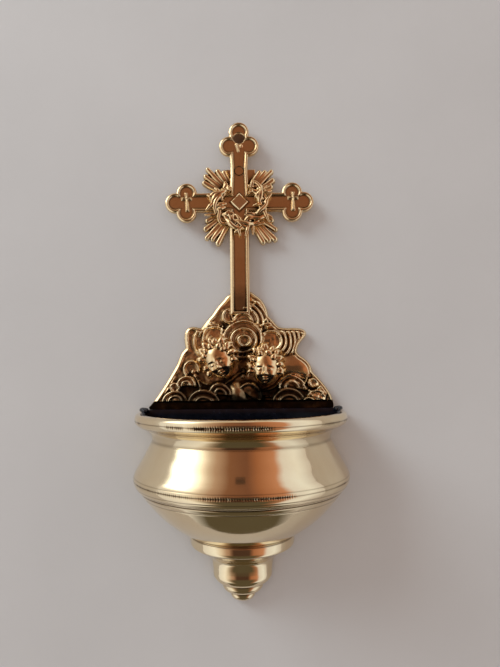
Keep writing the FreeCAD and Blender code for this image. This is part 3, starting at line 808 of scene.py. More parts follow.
def makeLozenge():
    half = (rivetHigh.x - rivetLow.x) / 2
    leanX, leanZ = lozenge["lean"]

    def inside(x, z):
        return (half - np.abs(x) - np.abs(z - armZ)) / math.sqrt(2)

    def height(x, z):
        lean = leanZ * (z - armZ) + leanX * x
        bevel = 1 - np.clip(inside(x, z) / lozenge["bevel"], 0, 1)
        return -rivetLow.y - lozenge["faceDrop"] + lean - lozenge["bevelDrop"] * bevel

    thing = castPlate("lozengeHead", lozenge, inside, height, (rivetLow.x, armZ - half),
                      (rivetHigh.x, armZ + half), lozenge["thick"] + crossLow.y, polish=1.0)
    return dress(thing, cast, "lozenge_rivet")


# glory

glory = {
    # angle and reach of each ray
    "rays": [(132, 23.4), (140.5, 21.6), (149, 20.4), (123, 19.6), (115.5, 17.6),
             (45, 22.6), (51, 20.4), (57, 18.9), (34.5, 20.2), (27, 17.8),
             (217.5, 21.2), (227, 23.8), (233.5, 22.4), (242, 22.8), (209, 18.4),
             (-37, 22.3), (-46.5, 25.2), (-52.5, 23.6), (-59.5, 22.8), (-29, 18.4)],
    "rayFoot": 5.0,
    "halfWidth": 1.5,
    "taper": 0.12,
    "waves": (0.07, 11),        # height and pace of the little waves along a ray's sides
    "proud": 1.35,
    "sunk": 0.12,               # flats between the rays, below the front datum
    "disc": 10.6,
    "tongueHalf": 7.6,
    "tongueTop": 1.4,           # above the pin
    "step": 0.2,
    "edge": 0.35,
    "soften": 0.7,
    "rough": 0.03,
    "seed": 11,
}


def gloryRays(x, z):
    best, height = np.full(x.shape, -1e9), np.zeros(x.shape)
    half = glory["halfWidth"]
    wave, pace = glory["waves"]
    for angle, reach in glory["rays"]:
        a = math.radians(angle)
        tip = (reach - half * 0.7) * math.cos(a), (reach - half * 0.7) * math.sin(a)
        foot = glory["rayFoot"] * math.cos(a), glory["rayFoot"] * math.sin(a)
        away, share = alongLine(x, z - armZ, foot, tip)
        width = half * (1.0 - glory["taper"] * share + wave * np.sin(pace * share + angle))
        best = np.maximum(best, width - away)
        crest = rounded(np.clip(away / width, 0, 1)) * (0.75 + 0.35 * share)
        height = np.maximum(height, glory["proud"] * crest)
    return best, height


def insideGlory(x, z):
    best = np.maximum(gloryRays(x, z)[0], insideDisc(x, z, 0, armZ, glory["disc"]))
    half = glory["tongueHalf"]
    return np.maximum(best, insideBox(x, z, -half, half, armZ, pinZ + glory["tongueTop"]))


def gloryHeight(x, z):
    return gloryRays(x, z)[1] - glory["sunk"]


def makeGlory():
    low, high = boxMm("glory_rays")
    thing = castPlate("castGlory", glory, insideGlory, gloryHeight, (low.x - 1, low.z - 2),
                      (high.x + 1, high.z + 2), high.y, crownShadow)
    return dress(thing, cast, "glory_rays")


# crown of thorns

crown = {
    "halfWidth": 11.2,
    "halfHeight": 11.1,
    "topHeight": 9.2,
    "gap": 30.0,                # degrees left open each side of the upper shaft
    # phase, how far it strays from the ring, turns round it, thickness
    "strands": [(0.0, 1.6, 4.0, 0.98), (2.1, 1.7, 5.0, 0.92), (4.2, 1.6, 3.4, 0.92), (1.1, 2.0, 6.2, 0.80)],
    "steps": 90,
    "knots": 12,                # stretches of a strand that stray and swell on their own
    "stray": 0.7,
    "sway": 0.8,                # towards the viewer and back
    "thorns": 42,
    "thornLength": (2.8, 4.8),
    "thornThick": 0.92,
    "thornLean": 0.42,
    "overBar": 1.0,             # lies this far in front of the cross, and this far in front of the glory
    "overGlory": 1.7,
    "voxel": 0.17,
    "least": 200,               # smaller bits than this many points are crumbs
    "darkening": (10.4, 2.9),        # radius and width of the painted shadow ring behind it
    "shade": {"ridge": 0.4, "hollow": 1.8},     # less rubbed and with more painted shade in its hollows than the rest
}


def crownShadow(x, z):            # painted shadow of the crown on the cross and glory; none on the upper shaft, where the crown is open
    radius, width = crown["darkening"]
    openTop = smooth((np.abs(x) - 3.6) / 1.6 + 2.0 * (z < armZ))
    return bell((np.hypot(x, z - armZ) - radius) / width) * openTop


def crownPlace(angle, out, lift):
    x = (crown["halfWidth"] + out) * math.sin(angle)
    tall = crown["topHeight"] if math.cos(angle) > 0 else crown["halfHeight"]
    z = armZ + (tall + out) * math.cos(angle)
    overBar = insideCross(np.array([x]), np.array([z]))[0]
    rest = crossLow.y - crown["overBar"]
    if overBar <= -0.8:
        rest = -crown["overGlory"] + max(-0.6, overBar * 0.25)
    return np.array([x, rest - lift, z])


def crownStrand(body, rng, start, sweep, phase, wind, turns, radius):
    steps, knots, stray = crown["steps"], crown["knots"], crown["stray"]
    wobble = [rng.uniform(-stray, stray) for _ in range(knots + 1)]
    path = []
    for i in range(steps + 1):
        angle = start + sweep * i / steps
        w = turns * angle + phase
        drift = wobble[(i - i % 8) * knots // steps]
        path.append(crownPlace(angle, wind * math.cos(w) + drift, crown["sway"] * math.sin(w)))
    path = np.array(path)
    for _ in range(3):
        path[1:-1] = (path[:-2] + 2 * path[1:-1] + path[2:]) / 4
    radii = [radius * rng.uniform(0.85, 1.15) for _ in range(knots + 1)]
    tubeInto(body, path, np.interp(np.linspace(0, knots, len(path)), range(knots + 1), radii))


def crownThorn(body, rng, angle):
    side = rng.choice((-1, 1))
    out = side * rng.uniform(0.2, 1.6)
    reach = rng.uniform(*crown["thornLength"]) * (0.8 if side < 0 else 1.0)
    reach *= 1 - 0.45 * max(0.0, math.cos(angle))       # shorter at the top
    lean = rng.uniform(-crown["thornLean"], crown["thornLean"])
    base = crownPlace(angle, out, 0.0)
    tip = crownPlace(angle + lean, out + side * reach, 0.2)
    middle = (base + tip) / 2 + np.array([0, -0.35, 0])
    thick = crown["thornThick"] * rng.uniform(0.8, 1.15)
    tubeInto(body, [base, middle, tip], [thick, thick * 0.95, thick * 0.6], 8)


def makeCrown():
    rng = random.Random(21)
    body = bmesh.new()
    start = math.radians(crown["gap"])
    sweep = 2 * math.pi - 2 * start
    for strand in crown["strands"]:
        crownStrand(body, rng, start, sweep, *strand)
    for i in range(crown["thorns"]):
        crownThorn(body, rng, start + sweep * (i + rng.uniform(0.1, 0.9)) / crown["thorns"])
    thing = fusedObject("thornCrown", body, crown["voxel"], 3)
    mesh = thing.data
    dropSpecks(mesh, crown["least"])
    for v in mesh.vertices:             # nothing reaches into the cross or the glory
        v.co.y = min(v.co.y, -0.2 * mm)
    shadeByForm(mesh)
    for name, share in crown["shade"].items():
        for point in mesh.attributes[name].data:
            point.value = min(1.0, point.value * share)
    finishMesh(mesh, 60)
    return dress(thing, cast, "thorn_crown")


print("cross, glory and crown")
makeCross()
makeLozenge()
makeGlory()
makeCrown()


# cloud plate

# Right side downwards, then the left side upwards. Each stroke is smooth and starts where the last one ends.
cloudEdge = [
    [(5.0, -73.8), (7.0, -75.2), (9.3, -77.0), (11.1, -79.3), (12.3, -82.0), (13.0, -85.2)],
    [(14.8, -87.0), (16.5, -89.2), (18.0, -90.5)],
    [(21.0, -90.9), (24.5, -90.9), (27.5, -91.1), (29.6, -91.9), (30.5, -93.3), (30.0, -94.9), (28.6, -96.5),
     (27.2, -98.2), (26.3, -100.2), (26.0, -102.0)],
    [(27.2, -103.6), (29.2, -105.0), (31.2, -106.9), (32.5, -109.1), (33.0, -111.3)],
    [(35.0, -113.4), (37.2, -115.9), (39.2, -118.5), (40.9, -121.2), (41.9, -123.8), (42.6, -127.0)],
    [(37.6, -135.4)],
    [(-37.6, -135.4)],
    [(-42.6, -127.0)],
    [(-40.0, -124.0), (-37.1, -119.8), (-34.3, -115.5), (-31.8, -111.3), (-29.8, -107.8), (-28.5, -104.6),
     (-27.3, -102.0), (-25.5, -100.0)],
    [(-25.9, -97.6), (-26.1, -95.0), (-25.8, -92.6), (-24.6, -90.7), (-22.4, -89.9), (-20.0, -90.2),
     (-18.3, -90.6)],
    [(-16.0, -87.6), (-13.3, -84.5), (-10.8, -81.0), (-8.0, -77.8), (-5.3, -75.0), (0.0, -73.0)],
]

# Scales of cloud, furthest first: x, z, radius, rise, dome, rolls (share of the radius), flattening,
# then the angles that it spans.
scales = [
    (1.0, -88.0, 12.2, 0.35, 0.2, (0.93,), 1.0, -25, 75),
    (1.0, -88.0, 10.0, 0.65, 0.2, (0.90,), 1.0, -25, 80),
    (1.0, -88.0, 7.6, 0.95, 0.3, (0.88,), 1.0, -25, 100),
    (0.8, -88.2, 5.2, 1.2, 0.4, (0.82,), 0.95, -10, 190),
    (13.6, -96.0, 16.6, 0.30, 0.1, (0.95,), 0.90, -28, 32),
    (14.0, -96.4, 14.2, 0.45, 0.1, (0.94,), 0.90, -34, 38),
    (14.2, -96.6, 12.0, 0.65, 0.1, (0.93,), 0.92, -42, 42),
    (14.4, -96.8, 9.8, 0.85, 0.2, (0.91,), 0.95, -55, 40),
    (13.2, -96.6, 8.6, 0.75, 0.2, (0.90,), 1.0, 30, 150),
    (14.4, -96.8, 7.6, 1.05, 0.2, (0.88,), 0.98, -60, 120),
    (14.2, -97.2, 5.7, 1.15, 0.9, (0.84,), 0.96, -180, 180),
    (-12.8, -96.6, 10.0, 0.75, 0.3, (0.91,), 0.95, 80, 240),
    (-12.4, -95.4, 8.0, 0.85, 0.2, (0.90,), 0.92, 60, 175),
    (-12.2, -95.6, 6.5, 1.25, 1.0, (0.86,), 0.98, -180, 180),
    (-5.3, -85.0, 3.8, 1.2, -0.3, (0.74,), 1.05, 60, 300),
    (1.0, -96.0, 9.7, 1.3, 0.3, (0.88,), 0.95, -180, 180),
    (1.3, -96.6, 6.7, 1.9, 0.4, (0.83,), 0.93, -180, 180),
    (1.6, -96.8, 3.9, 2.4, 0.2, (0.70,), 0.84, -180, 180),
    (25.0, -108.6, 8.8, 0.5, 1.6, (), 0.62, -180, 180),
    (-22.8, -109.4, 4.3, 1.5, -0.5, (0.76,), 1.0, -40, 240),
    (-30.6, -117.8, 2.8, 1.1, 0.3, (0.72,), 0.9, -180, 180),
    (-25.0, -117.0, 5.0, 1.5, 0.3, (0.84, 0.42), 0.95, -15, 195),
    (-30.3, -124.4, 5.9, 1.5, 0.4, (0.86, 0.46), 0.92, -10, 190),
    (-9.6, -121.2, 5.6, 1.9, 0.3, (0.85, 0.46), 1.0, -15, 195),
    (-17.2, -125.6, 7.6, 2.2, 0.6, (0.89, 0.50), 0.95, -10, 190),
    (3.6, -122.2, 6.4, 2.0, 0.5, (0.86,), 1.05, -40, 150),
    (23.2, -118.6, 6.4, 1.3, 0.3, (0.86, 0.46), 0.95, -15, 195),
    (21.8, -126.0, 7.8, 1.9, 0.5, (0.89, 0.50), 0.98, -10, 190),
    (37.0, -120.0, 3.2, 0.9, 0.8, (0.7,), 0.9, -180, 180),
    (32.8, -116.4, 3.0, 0.9, 0.8, (0.7,), 0.8, -180, 180),
    (34.0, -123.0, 4.8, 1.2, 0.9, (0.8,), 0.8, -180, 180),
    (30.6, -125.0, 3.4, 1.0, 0.9, (0.7,), 0.9, -180, 180),
]
# Raised strokes: points, half width, rise.
strokes = [
    ([(-5.2, -82.4), (-4.2, -84.5), (-3.4, -87.4)], 0.9, 1.6),
    ([(4.4, -80.5), (4.7, -83.2)], 0.9, 1.5),
    ([(-8.3, -89.6), (-8.4, -93.0), (-7.9, -96.8)], 1.0, 1.6),
    ([(12.8, -85.2), (10.8, -87.6), (9.6, -90.0), (9.8, -92.4)], 0.95, 1.5),
    ([(6.0, -79.4), (7.8, -78.3), (9.6, -79.2), (10.8, -81.6), (11.2, -84.0)], 0.85, 1.1),
    ([(-22.0, -98.4), (-20.4, -101.2), (-18.2, -103.4)], 0.9, 1.2),
    ([(-20.6, -113.4), (-19.2, -115.8), (-18.4, -118.8)], 1.0, 1.7),
    ([(-19.0, -114.6), (-16.2, -116.4), (-13.8, -116.4)], 0.8, 1.2),
    ([(-6.8, -116.2), (-3.8, -114.2), (-1.0, -111.8), (1.2, -110.6)], 0.9, 1.7),
    ([(-1.6, -101.8), (-0.6, -103.6), (0.9, -103.4), (1.4, -101.9)], 0.8, 1.2),
    ([(8.4, -119.8), (12.4, -119.4), (15.8, -117.8), (18.4, -114.8), (21.4, -112.9), (25.2, -112.6),
      (28.6, -114.2)], 1.05, 2.1),
    ([(20.6, -116.0), (23.4, -114.9), (26.4, -116.2)], 0.7, 1.2),
    ([(30.5, -113.2), (29.4, -115.6), (27.9, -117.9)], 0.8, 1.5),
    ([(8.8, -122.4), (13.6, -122.6)], 0.7, 1.2),
    ([(8.6, -121.0), (9.0, -124.0)], 0.6, 1.0),
    ([(-35.0, -120.4), (-32.8, -116.6), (-30.6, -113.2)], 0.8, 0.9),
    ([(-29.4, -110.8), (-28.0, -107.6), (-27.0, -104.4)], 0.8, 0.7),
    ([(33.0, -113.2), (35.6, -116.6), (38.4, -120.4)], 0.8, 1.1),
    ([(3.4, -113.0), (4.6, -110.0), (3.8, -106.6)], 0.7, 0.7),
    ([(0.4, -105.4), (-1.8, -107.2), (-2.4, -109.6)], 0.7, 0.6),
]
# Small round beads: x, z, radius, rise.
beads = [
    (29.4, -118.8, 1.1, 1.6), (-29.2, -117.2, 0.9, 1.2), (9.0, -89.8, 1.0, 1.7), (-22.0, -110.8, 1.3, 1.7),
    (0.9, -112.8, 1.2, 1.7), (-18.5, -119.0, 1.1, 2.0), (31.2, -120.0, 1.0, 1.3), (37.2, -121.8, 0.9, 1.2),
    (-21.0, -112.6, 1.0, 1.2), (1.2, -110.6, 1.1, 1.6),
]

cloud = {
    "border": 2.0,
    "bevel": 1.4,               # slanting part of the border outside, and the share of it that faces right
    "bevelLeast": 0.62,
    "borderRise": 0.9,
    "borderSlope": 0.9,
    "reliefFoot": -124.6,       # plain strip below this
    "roll": 1.15,               # half width of a rolled edge
    "rollRise": 1.05,
    "scaleFade": 12,            # degrees over which a scale's ends sink
    "drift": 0.55,              # how far hand work strays from true circles, and over what length
    "driftReach": 13,
    # the calm wing at the right: its left, foot and top, and how softly each starts
    "wing": [(18.0, 3), (-113.0, 2), (-102.5, 2)],
    "shoulder": (-9.0, -86.0, 3),       # calm left of and above this too
    "lumps": [(0.20, 4.5, 53), (0.10, 2.4, 54)],        # height, size and seed
    "petal": (-1.4, -121.0, 4.9, 1.35, 3.9),    # tall one under the heads: x, z, half width, tallness, rise
    "petalLean": 0.2,
    "recess": (2.2, -102.0, 3.2, 1.5),  # between the heads: x, z, radius, depth
    "leaf": (29.5, -115.5, 0.22),       # veined corner: right of and below this, and the veins' height
    # painted shade in the recesses round the heads: x, z, spread, strength
    "darkening": [(1.5, -111.0, 4.5, 0.2), (1.0, -104.0, 4.0, 0.5), (0.0, -109.0, 5.0, 0.5),
             (-17.0, -112.5, 3.5, 0.45), (9.0, -119.0, 4.5, 0.4), (2.0, -100.5, 3.0, 0.4),
             (-7.0, -113.5, 4.0, 0.5), (22.0, -103.0, 3.0, 0.3)],
    "lowDarkening": (0.75, -112.0, 10.0),    # strength, where it starts and over what height
    "lowDarkeningHalf": 34.0,
    "headHole": 1.65,
    "footHole": 1.35,
    "plateHole": 1.55,
    "step": 0.22,
    "edge": 0.3,
    "soften": 0.6,
    "rough": 0.025,
    "seed": 17,
}


def cloudCorners():
    points = []
    start = cloudEdge[-1][-1]
    for stroke in cloudEdge:
        whole = [start] + stroke
        smoothed = curveThrough(whole, 4) if len(whole) > 2 else np.array(whole, float)
        points.extend(smoothed[:-1])
        start = stroke[-1]
    return np.array(points)


def plateHoles():
    heads = [centreMm(node) for node in ("cherub_head_left", "cherub_head_right")]
    spots = [(head.x, head.z, cloud["headHole"]) for head in heads]
    low, high = boxMm("foot_rivets")
    radius = (high.x - low.x) / 2
    spots += [(0, z, cloud["footHole"]) for z in (low.z + radius, high.z - radius)]
    low, high = boxMm("plate_rivets")
    side = high.x - (high.z - low.z) / 2
    return spots + [(x, (low.z + high.z) / 2, cloud["plateHole"]) for x in (-side, 0, side)]


def insideCloud(x, z):
    best = insideOutline(x, z, cloudCorners())
    for cx, cz, radius in plateHoles():
        best = np.minimum(best, np.hypot(x - cx, z - cz) - radius)
    return best


def scaleHeight(x, z, scale, behind):   # a domed scale with rolled edges, laid over what is behind it
    cx, cz, radius, rise, dome, rolls, squash, spanLow, spanHigh = scale
    away = np.hypot(x - cx, (z - cz) / squash) / radius
    turn = np.degrees(np.arctan2(z - cz, x - cx))
    turn = np.where(turn < spanLow, turn + 360, turn)
    fade = 1.0
    if spanHigh - spanLow < 360:
        ease = cloud["scaleFade"]
        fade = smooth((spanHigh - turn) / ease) * smooth((turn - spanLow) / ease)
    body = rise + dome * (1 - np.clip(away, 0, 1) ** 2)
    for share in rolls:
        body = body + cloud["rollRise"] * swell(np.abs(away - share) * radius / cloud["roll"])
    cover = smooth((1 - away) * radius / 0.4 + 0.3) * fade
    return behind * (1 - cover) + np.maximum(body, behind * 0.4) * cover


def addStrokes(x, z, height):
    for points, half, rise in strokes:
        away, share = nearLine(x, z, curveThrough(points))
        taper = 0.65 + 0.35 * np.sin(np.pi * np.clip(share * 0.9 + 0.05, 0, 1))
        offset = away / (half * taper)
        height = np.where(offset < 1, np.maximum(height, rise * swell(offset) + 0.5 * height), height)
    for cx, cz, radius, rise in beads:
        away = np.hypot(x - cx, z - cz) / radius
        height = np.where(away < 1, np.maximum(height, rise * rounded(away) + 0.5 * height), height)
    return height


def cloudHeight(x, z):
    outer = insideOutline(x, z, cloudCorners())
    (left, leftSoft), (foot, footSoft), (top, topSoft) = cloud["wing"]
    calm = smooth((x - left) / leftSoft) * smooth((z - foot) / footSoft) * smooth((top - z) / topSoft)
    shoulderX, shoulderZ, soft = cloud["shoulder"]
    lively = 1 - 0.8 * np.maximum(calm, smooth((shoulderX - x) / soft) * smooth((z - shoulderZ) / soft))
    wx, wz = (line + cloud["drift"] * unevenness(x.shape, cloud["driftReach"], seed) * lively
              for line, seed in ((x, 51), (z, 52)))
    height = 0.25 + 0.35 * smooth((outer - 1.5) / 6)
    for scale in scales:
        height = scaleHeight(wx, wz, scale, height)
    cx, cz, half, tall, rise = cloud["petal"]
    puff = np.hypot((wx - cx) + cloud["petalLean"] * (wz - cz), (wz - cz) / tall) / half
    height = np.maximum(height, rise * (1 - np.clip(puff, 0, 1) ** 2) - 0.2)
    cx, cz, radius, depth = cloud["recess"]
    recess = np.hypot((wx - cx) / radius, (wz - cz) / radius)
    height = height - depth * np.exp(-recess ** 4) * (height > 0.6)
    height = addStrokes(wx, wz, height)
    leafX, leafZ, veins = cloud["leaf"]
    leaf = smooth((x - leafX) / 1.5) * smooth((leafZ - z) / 2) * smooth((outer - 1.2) / 1.0)
    height = height + veins * leaf * np.sin(2.3 * x + 1.1 * z) * np.sin(2.6 * z - 0.9 * x)
    for lump, size, seed in cloud["lumps"]:
        height = height + lump * lively * unevenness(x.shape, size, seed)
    room = smooth((outer - 0.5 * cloud["border"]) / 0.9)
    height = height * room + 0.1 * (1 - room)
    wide = bevelWidth(outer, cloud["step"], cloud["bevel"], cloud["bevelLeast"])
    inner = smooth((wide + cloud["borderSlope"] - outer) / cloud["borderSlope"])
    height = np.maximum(height, cloud["borderRise"] * np.clip(outer / wide, 0, 1) * inner)
    return height * smooth((z - cloud["reliefFoot"]) / 0.5)


def cloudDarkening(x, z):           # darker low down; painted shade on the plain strip by the bowl and in the recesses round the heads
    strength, start, reach = cloud["lowDarkening"]
    low = smooth((start - z) / reach) ** 1.5 * smooth((cloud["lowDarkeningHalf"] - np.abs(x)) / 8)
    # darker low down, and painted shade on the plain strip by the bowl
    darkening = strength * low + smooth((cloud["reliefFoot"] + 0.8 - z) / 0.8)
    for cx, cz, wide, strength in cloud["darkening"]:
        darkening = darkening + strength * bell(np.hypot(x - cx, z - cz) / wide)
    return darkening


def makeCloudPlate():
    thing = castPlate("cloudPlate", cloud, insideCloud, cloudHeight, (plateLow.x, plateLow.z),
                      (plateHigh.x, plateHigh.z + 1.0), plateHigh.y, cloudDarkening)
    return dress(thing, cast, "cloud_plate")


# cherub heads

head = {
    "skull": (6.5, 5.7, 8.1),           # half width, depth and half height
    "jaw": (0.17, 2.6, 0.08),           # how much the skull narrows low down, how late, how much it flattens
    "middleBehindBrow": 5.4,
    "seatY": -0.2,
    "lowered": 0.2,                     # below the middle of its box
    # loose locks of hair: first and last angle from the top, count, where they start (share of the skull),
    # how far they reach out, their thickness
    "locks": [(-60, 60, 6, 0.74, 2.4, 1.25), (-100, 100, 10, 0.92, 3.0, 1.35),
              (-118, 118, 12, 1.03, 3.5, 1.25)],
    "lockShape": [0.62, 0.85, 1.0, 1.0, 0.94, 0.84, 0.70, 0.52, 0.34],
    "ear": ((0.96, 0.2, -1.4), (0.75, 1.1, 1.4)),       # place, across as a share of the skull, and radii
    "throat": ((0, 0.8, -6.2), (2.6, 3.0, 2.2)),
    "pegRadius": 1.6,
    "pegFront": -2.0,
    "voxel": 0.15,
    # node: piece, tilt, turn, size and seed of each head
    "heads": {"cherub_head_left": ("cherubLeft", -24, -14, 1.10, 4),
              "cherub_head_right": ("cherubRight", 0, -6, 1.04, 9)},
}
# Features of a calm child's face, asleep: x, z, spread in x, spread in z, how far it stands out.
faceForms = [
    (0.0, 3.6, 3.8, 2.2, 0.35), (2.45, 0.75, 1.5, 0.50, 0.22), (2.4, -0.85, 1.35, 0.90, -0.60),
    (2.4, -1.05, 0.95, 0.62, 0.75), (2.4, -1.50, 0.95, 0.16, -0.16), (0.0, -0.9, 0.55, 1.6, 0.70),
    (0.0, -2.75, 0.80, 0.66, 1.25), (0.78, -3.05, 0.44, 0.40, 0.50), (3.3, -3.5, 1.8, 1.7, 0.80),
    (0.0, -4.7, 1.7, 1.2, 0.40), (0.45, -4.45, 0.70, 0.30, 0.34), (0.0, -5.40, 0.85, 0.36, 0.42),
    (0.0, -4.93, 1.2, 0.17, -0.40), (1.5, -4.9, 0.42, 0.42, -0.28), (0.0, -6.2, 1.0, 0.34, -0.25),
    (0.0, -7.1, 1.25, 0.8, 0.70),
]


def addLock(body, angle, reach, out, thick, rng):       # one lock of hair, swept out and curled at its tip
    a = math.radians(angle)
    x, z = math.sin(a) * reach, 0.10 + math.cos(a) * reach * 0.92
    y = -math.sqrt(max(0.10, 1 - min(0.90, x * x + z * z)))
    base = np.array([x, y, z]) * head["skull"]
    radial = np.array([math.sin(a), 0.0, math.cos(a)])
    along = np.array([math.cos(a), 0.0, -math.sin(a)])
    hand = rng.choice((-1, 1))
    out = out * rng.uniform(0.75, 1.15)
    path = []
    for t in np.linspace(0, 1, len(head["lockShape"])):
        swing = hand * (0.7 * math.sin(math.pi * 0.8 * t) - 0.5 * max(0.0, t - 0.6))
        lift = np.array([0, 0.5 * t * t - 0.35 * math.sin(math.pi * t) - 0.10, 0])
        path.append(base + radial * out * (t - 0.35) + along * swing * out * 0.5 + lift * out * 0.6)
    tubeInto(body, path, thick * np.array(head["lockShape"]))


def addSkull(body):
    wide, deep, tall = head["skull"]
    narrows, late, flattens = head["jaw"]
    made = bmesh.ops.create_icosphere(body, subdivisions=6, radius=1.0)
    for v in made["verts"]:
        below = max(0.0, -v.co.z)
        x, z = v.co.x * wide * (1 - narrows * below ** late), v.co.z * tall
        y = v.co.y * deep * (1 - flattens * below)
        if y < 0:
            front = min(1.0, -v.co.y * 2.2)
            for fx, fz, sx, sz, out in faceForms:
                for side in ((1, -1) if fx else (1,)):
                    y -= out * front * math.exp(-((x - side * fx) / sx) ** 2 - ((z - fz) / sz) ** 2)
        v.co = Vector((x, y, z)) * mm


def makeHead(node, name, tilt, turn, size, seed):
    low, high = boxMm(node)
    centre = centreMm(node)
    rng = random.Random(seed)
    body = bmesh.new()
    addSkull(body)
    for start, end, count, reach, out, thick in head["locks"]:
        for i in range(count):
            angle = start + (end - start) * i / (count - 1) + rng.uniform(-5, 5)
            addLock(body, angle, reach, out, thick * rng.uniform(0.85, 1.1), rng)
    (across, y, z), radii = head["ear"]
    for side in (-1, 1):
        ballInto(body, (side * head["skull"][0] * across, y, z), radii)
    ballInto(body, *head["throat"])
    thing = fusedObject(name, body, head["voxel"], 1)
    mesh = thing.data
    middle = Vector(((low.x + high.x) / 2, head["middleBehindBrow"] + low.y,
                     (low.z + high.z) / 2 - head["lowered"]))
    mesh.transform(Matrix.Translation(middle * mm) @ Matrix.Rotation(math.radians(tilt), 4, "Y")
                   @ Matrix.Rotation(math.radians(turn), 4, "Z") @ Matrix.Scale(size, 4))
    shadeByForm(mesh)
    body = opened(mesh)
    bmesh.ops.bisect_plane(body, geom=body.verts[:] + body.edges[:] + body.faces[:],
                           plane_co=(0, head["seatY"] * mm, 0), plane_no=(0, 1, 0), clear_outer=True)
    bmesh.ops.triangle_fill(body, use_beauty=True, edges=[e for e in body.edges if e.is_boundary])
    pegInto(body, centre.x, centre.z, head["pegRadius"], head["pegFront"], high.y)
    facedOut(body, mesh)
    finishMesh(mesh, 70)
    return dress(thing, cast, node)


print("cloud plate and heads")
makeCloudPlate()
for node, settings in head["heads"].items():
    makeHead(node, *settings)


# bowl and finial, turned

bowl = {
    "wall": 1.8,
    "profile": [(46.2, 0.0), (47.2, 0.2), (47.9, 0.9), (48.2, 2.0), (48.2, 3.0), (47.8, 4.2), (46.9, 5.2),
                (45.7, 5.9), (44.4, 6.4), (43.2, 7.0), (42.1, 7.8), (41.3, 8.8), (40.8, 10.0), (40.5, 11.2),
                (40.6, 12.1), (41.6, 14.2), (43.1, 17.0), (44.9, 20.4), (46.8, 23.6), (47.8, 25.4),
                (48.4, 27.0), (48.6, 28.4), (48.2, 30.2), (47.2, 31.9), (46.0, 33.1), (44.9, 34.6),
                (42.6, 37.6), (39.4, 41.4), (35.6, 45.2), (31.4, 48.6), (27.4, 51.3), (23.6, 53.5)],
    # drop below the rim, depth and half width of each turned groove
    "grooves": [(3.1, 0.12, 0.22), (5.6, 0.10, 0.22), (6.75, 0.18, 0.3), (12.1, 0.07, 0.3), (26.9, 0.08, 0.2),
                (28.3, 0.12, 0.22), (31.0, 0.10, 0.22), (32.4, 0.14, 0.22), (33.3, 0.24, 0.3),
                (35.4, 0.12, 0.24)],
    # drop, depth, half width and share of the round that chattered tool marks cover
    "chatter": [(3.3, 0.62, 0.70, 0.60), (28.4, 0.50, 0.50, 0.60)],
    # drop, reach and strength of painted shade in the corners
    "cornerShade": [(9.6, 1.8, 0.08), (11.9, 0.7, 0.25), (33.3, 0.7, 0.2), (5.9, 0.6, 0.25)],
    "inner": [(45.7, 0.0), (38.6, 8.2), (38.6, 12.1), (46.8, 28.2), (43.8, 33.2), (40.5, 38.8), (35.6, 43.6),
              (29.0, 48.2), (22.6, 51.7)],
    "flat": (0.0, 0.0, 1.0),            # how much its depth shrinks, below which drop, over what height
    "turns": 480,
    "spacing": 0.26,
    "seed": 31,
    # screw lugs inside: x, drop and radius, and the distances that they reach from the cut
    "lugs": [(screwHigh.x - 2.5, 28.2, 3.4), (32.3, 44.2, 3.2)],
    "lugDepths": (6.0, 5.0, 3.8),
}
finial = {
    # radius, drop below the bowl's floor
    "profile": [(22.7, 0.0), (23.3, 0.3), (23.5, 0.9), (23.5, 2.6), (23.4, 4.0), (23.0, 4.8), (22.0, 5.3),
                (20.2, 6.2), (18.6, 7.4), (16.9, 9.0), (15.2, 10.7), (14.0, 12.4), (13.5, 14.2),
                (13.25, 16.6), (13.2, 18.4), (12.9, 19.7), (11.7, 21.3), (10.6, 22.2), (9.9, 22.6),
                (9.4, 22.9), (9.2, 23.6), (8.8, 24.6), (8.0, 25.6), (7.0, 26.3), (6.1, 26.7),
                (5.7, 27.0), (5.5, 27.6), (5.1, 28.5), (4.2, 29.5), (2.4, 30.1), (0.0, 30.2)],
    "grooves": [(0.5, 0.15, 0.25), (5.0, 0.14, 0.24), (7.4, 0.10, 0.22), (22.75, 0.22, 0.28),
                (26.85, 0.2, 0.26)],
    "chatter": [],
    # painted shade in the corners
    "cornerShade": [(7.0, 1.2, 0.35), (0.4, 0.4, 0.4)],
    "flat": (0.25, 6.0, 6.0),           # the knob is a little flat
    "turns": 240,
    "spacing": 0.2,
    "seed": 41,
}
turnedShade = {"fullDepth": 0.28, "inside": 0.3}        # groove depth that is fully shaded, and painted shade on the inside
toolMarks = {
    "bursts": 26,
    "pace": 2.1,                # turn of the waves from one facet to the next
    "drift": (1.5, 0.07),       # how far that strays, and how slowly
    "middle": 0.14,             # reach of the busiest part, in front, as a share of the half turn
}


def groovedProfile(shape, topZ):
    line = curveThrough([(r, topZ - drop) for r, drop in shape["profile"]], 12)
    steps = np.concatenate([[0], np.cumsum(np.linalg.norm(np.diff(line, axis=0), axis=1))])
    at = np.linspace(0, steps[-1], int(steps[-1] / shape["spacing"]))
    line = np.stack([np.interp(at, steps, line[:, k]) for k in (0, 1)], 1)
    tangent = np.gradient(line, axis=0)
    tangent /= np.linalg.norm(tangent, axis=1)[:, None]
    outward = np.stack([-tangent[:, 1], tangent[:, 0]], 1)

    def reach(drop, half):
        near = np.argmin(np.abs(line[:, 1] - (topZ - drop)))
        return bell((at - at[near]) / half)

    cut = np.zeros(len(line))
    for drop, depth, half in shape["grooves"]:
        cut = np.maximum(cut, depth * reach(drop, half))
    marks = [(depth * reach(drop, half), share) for drop, depth, half, share in shape["chatter"]]
    cornerShade = sum(strength * reach(drop, half) for drop, half, strength in shape["cornerShade"])
    return line, outward, cut, marks, cornerShade


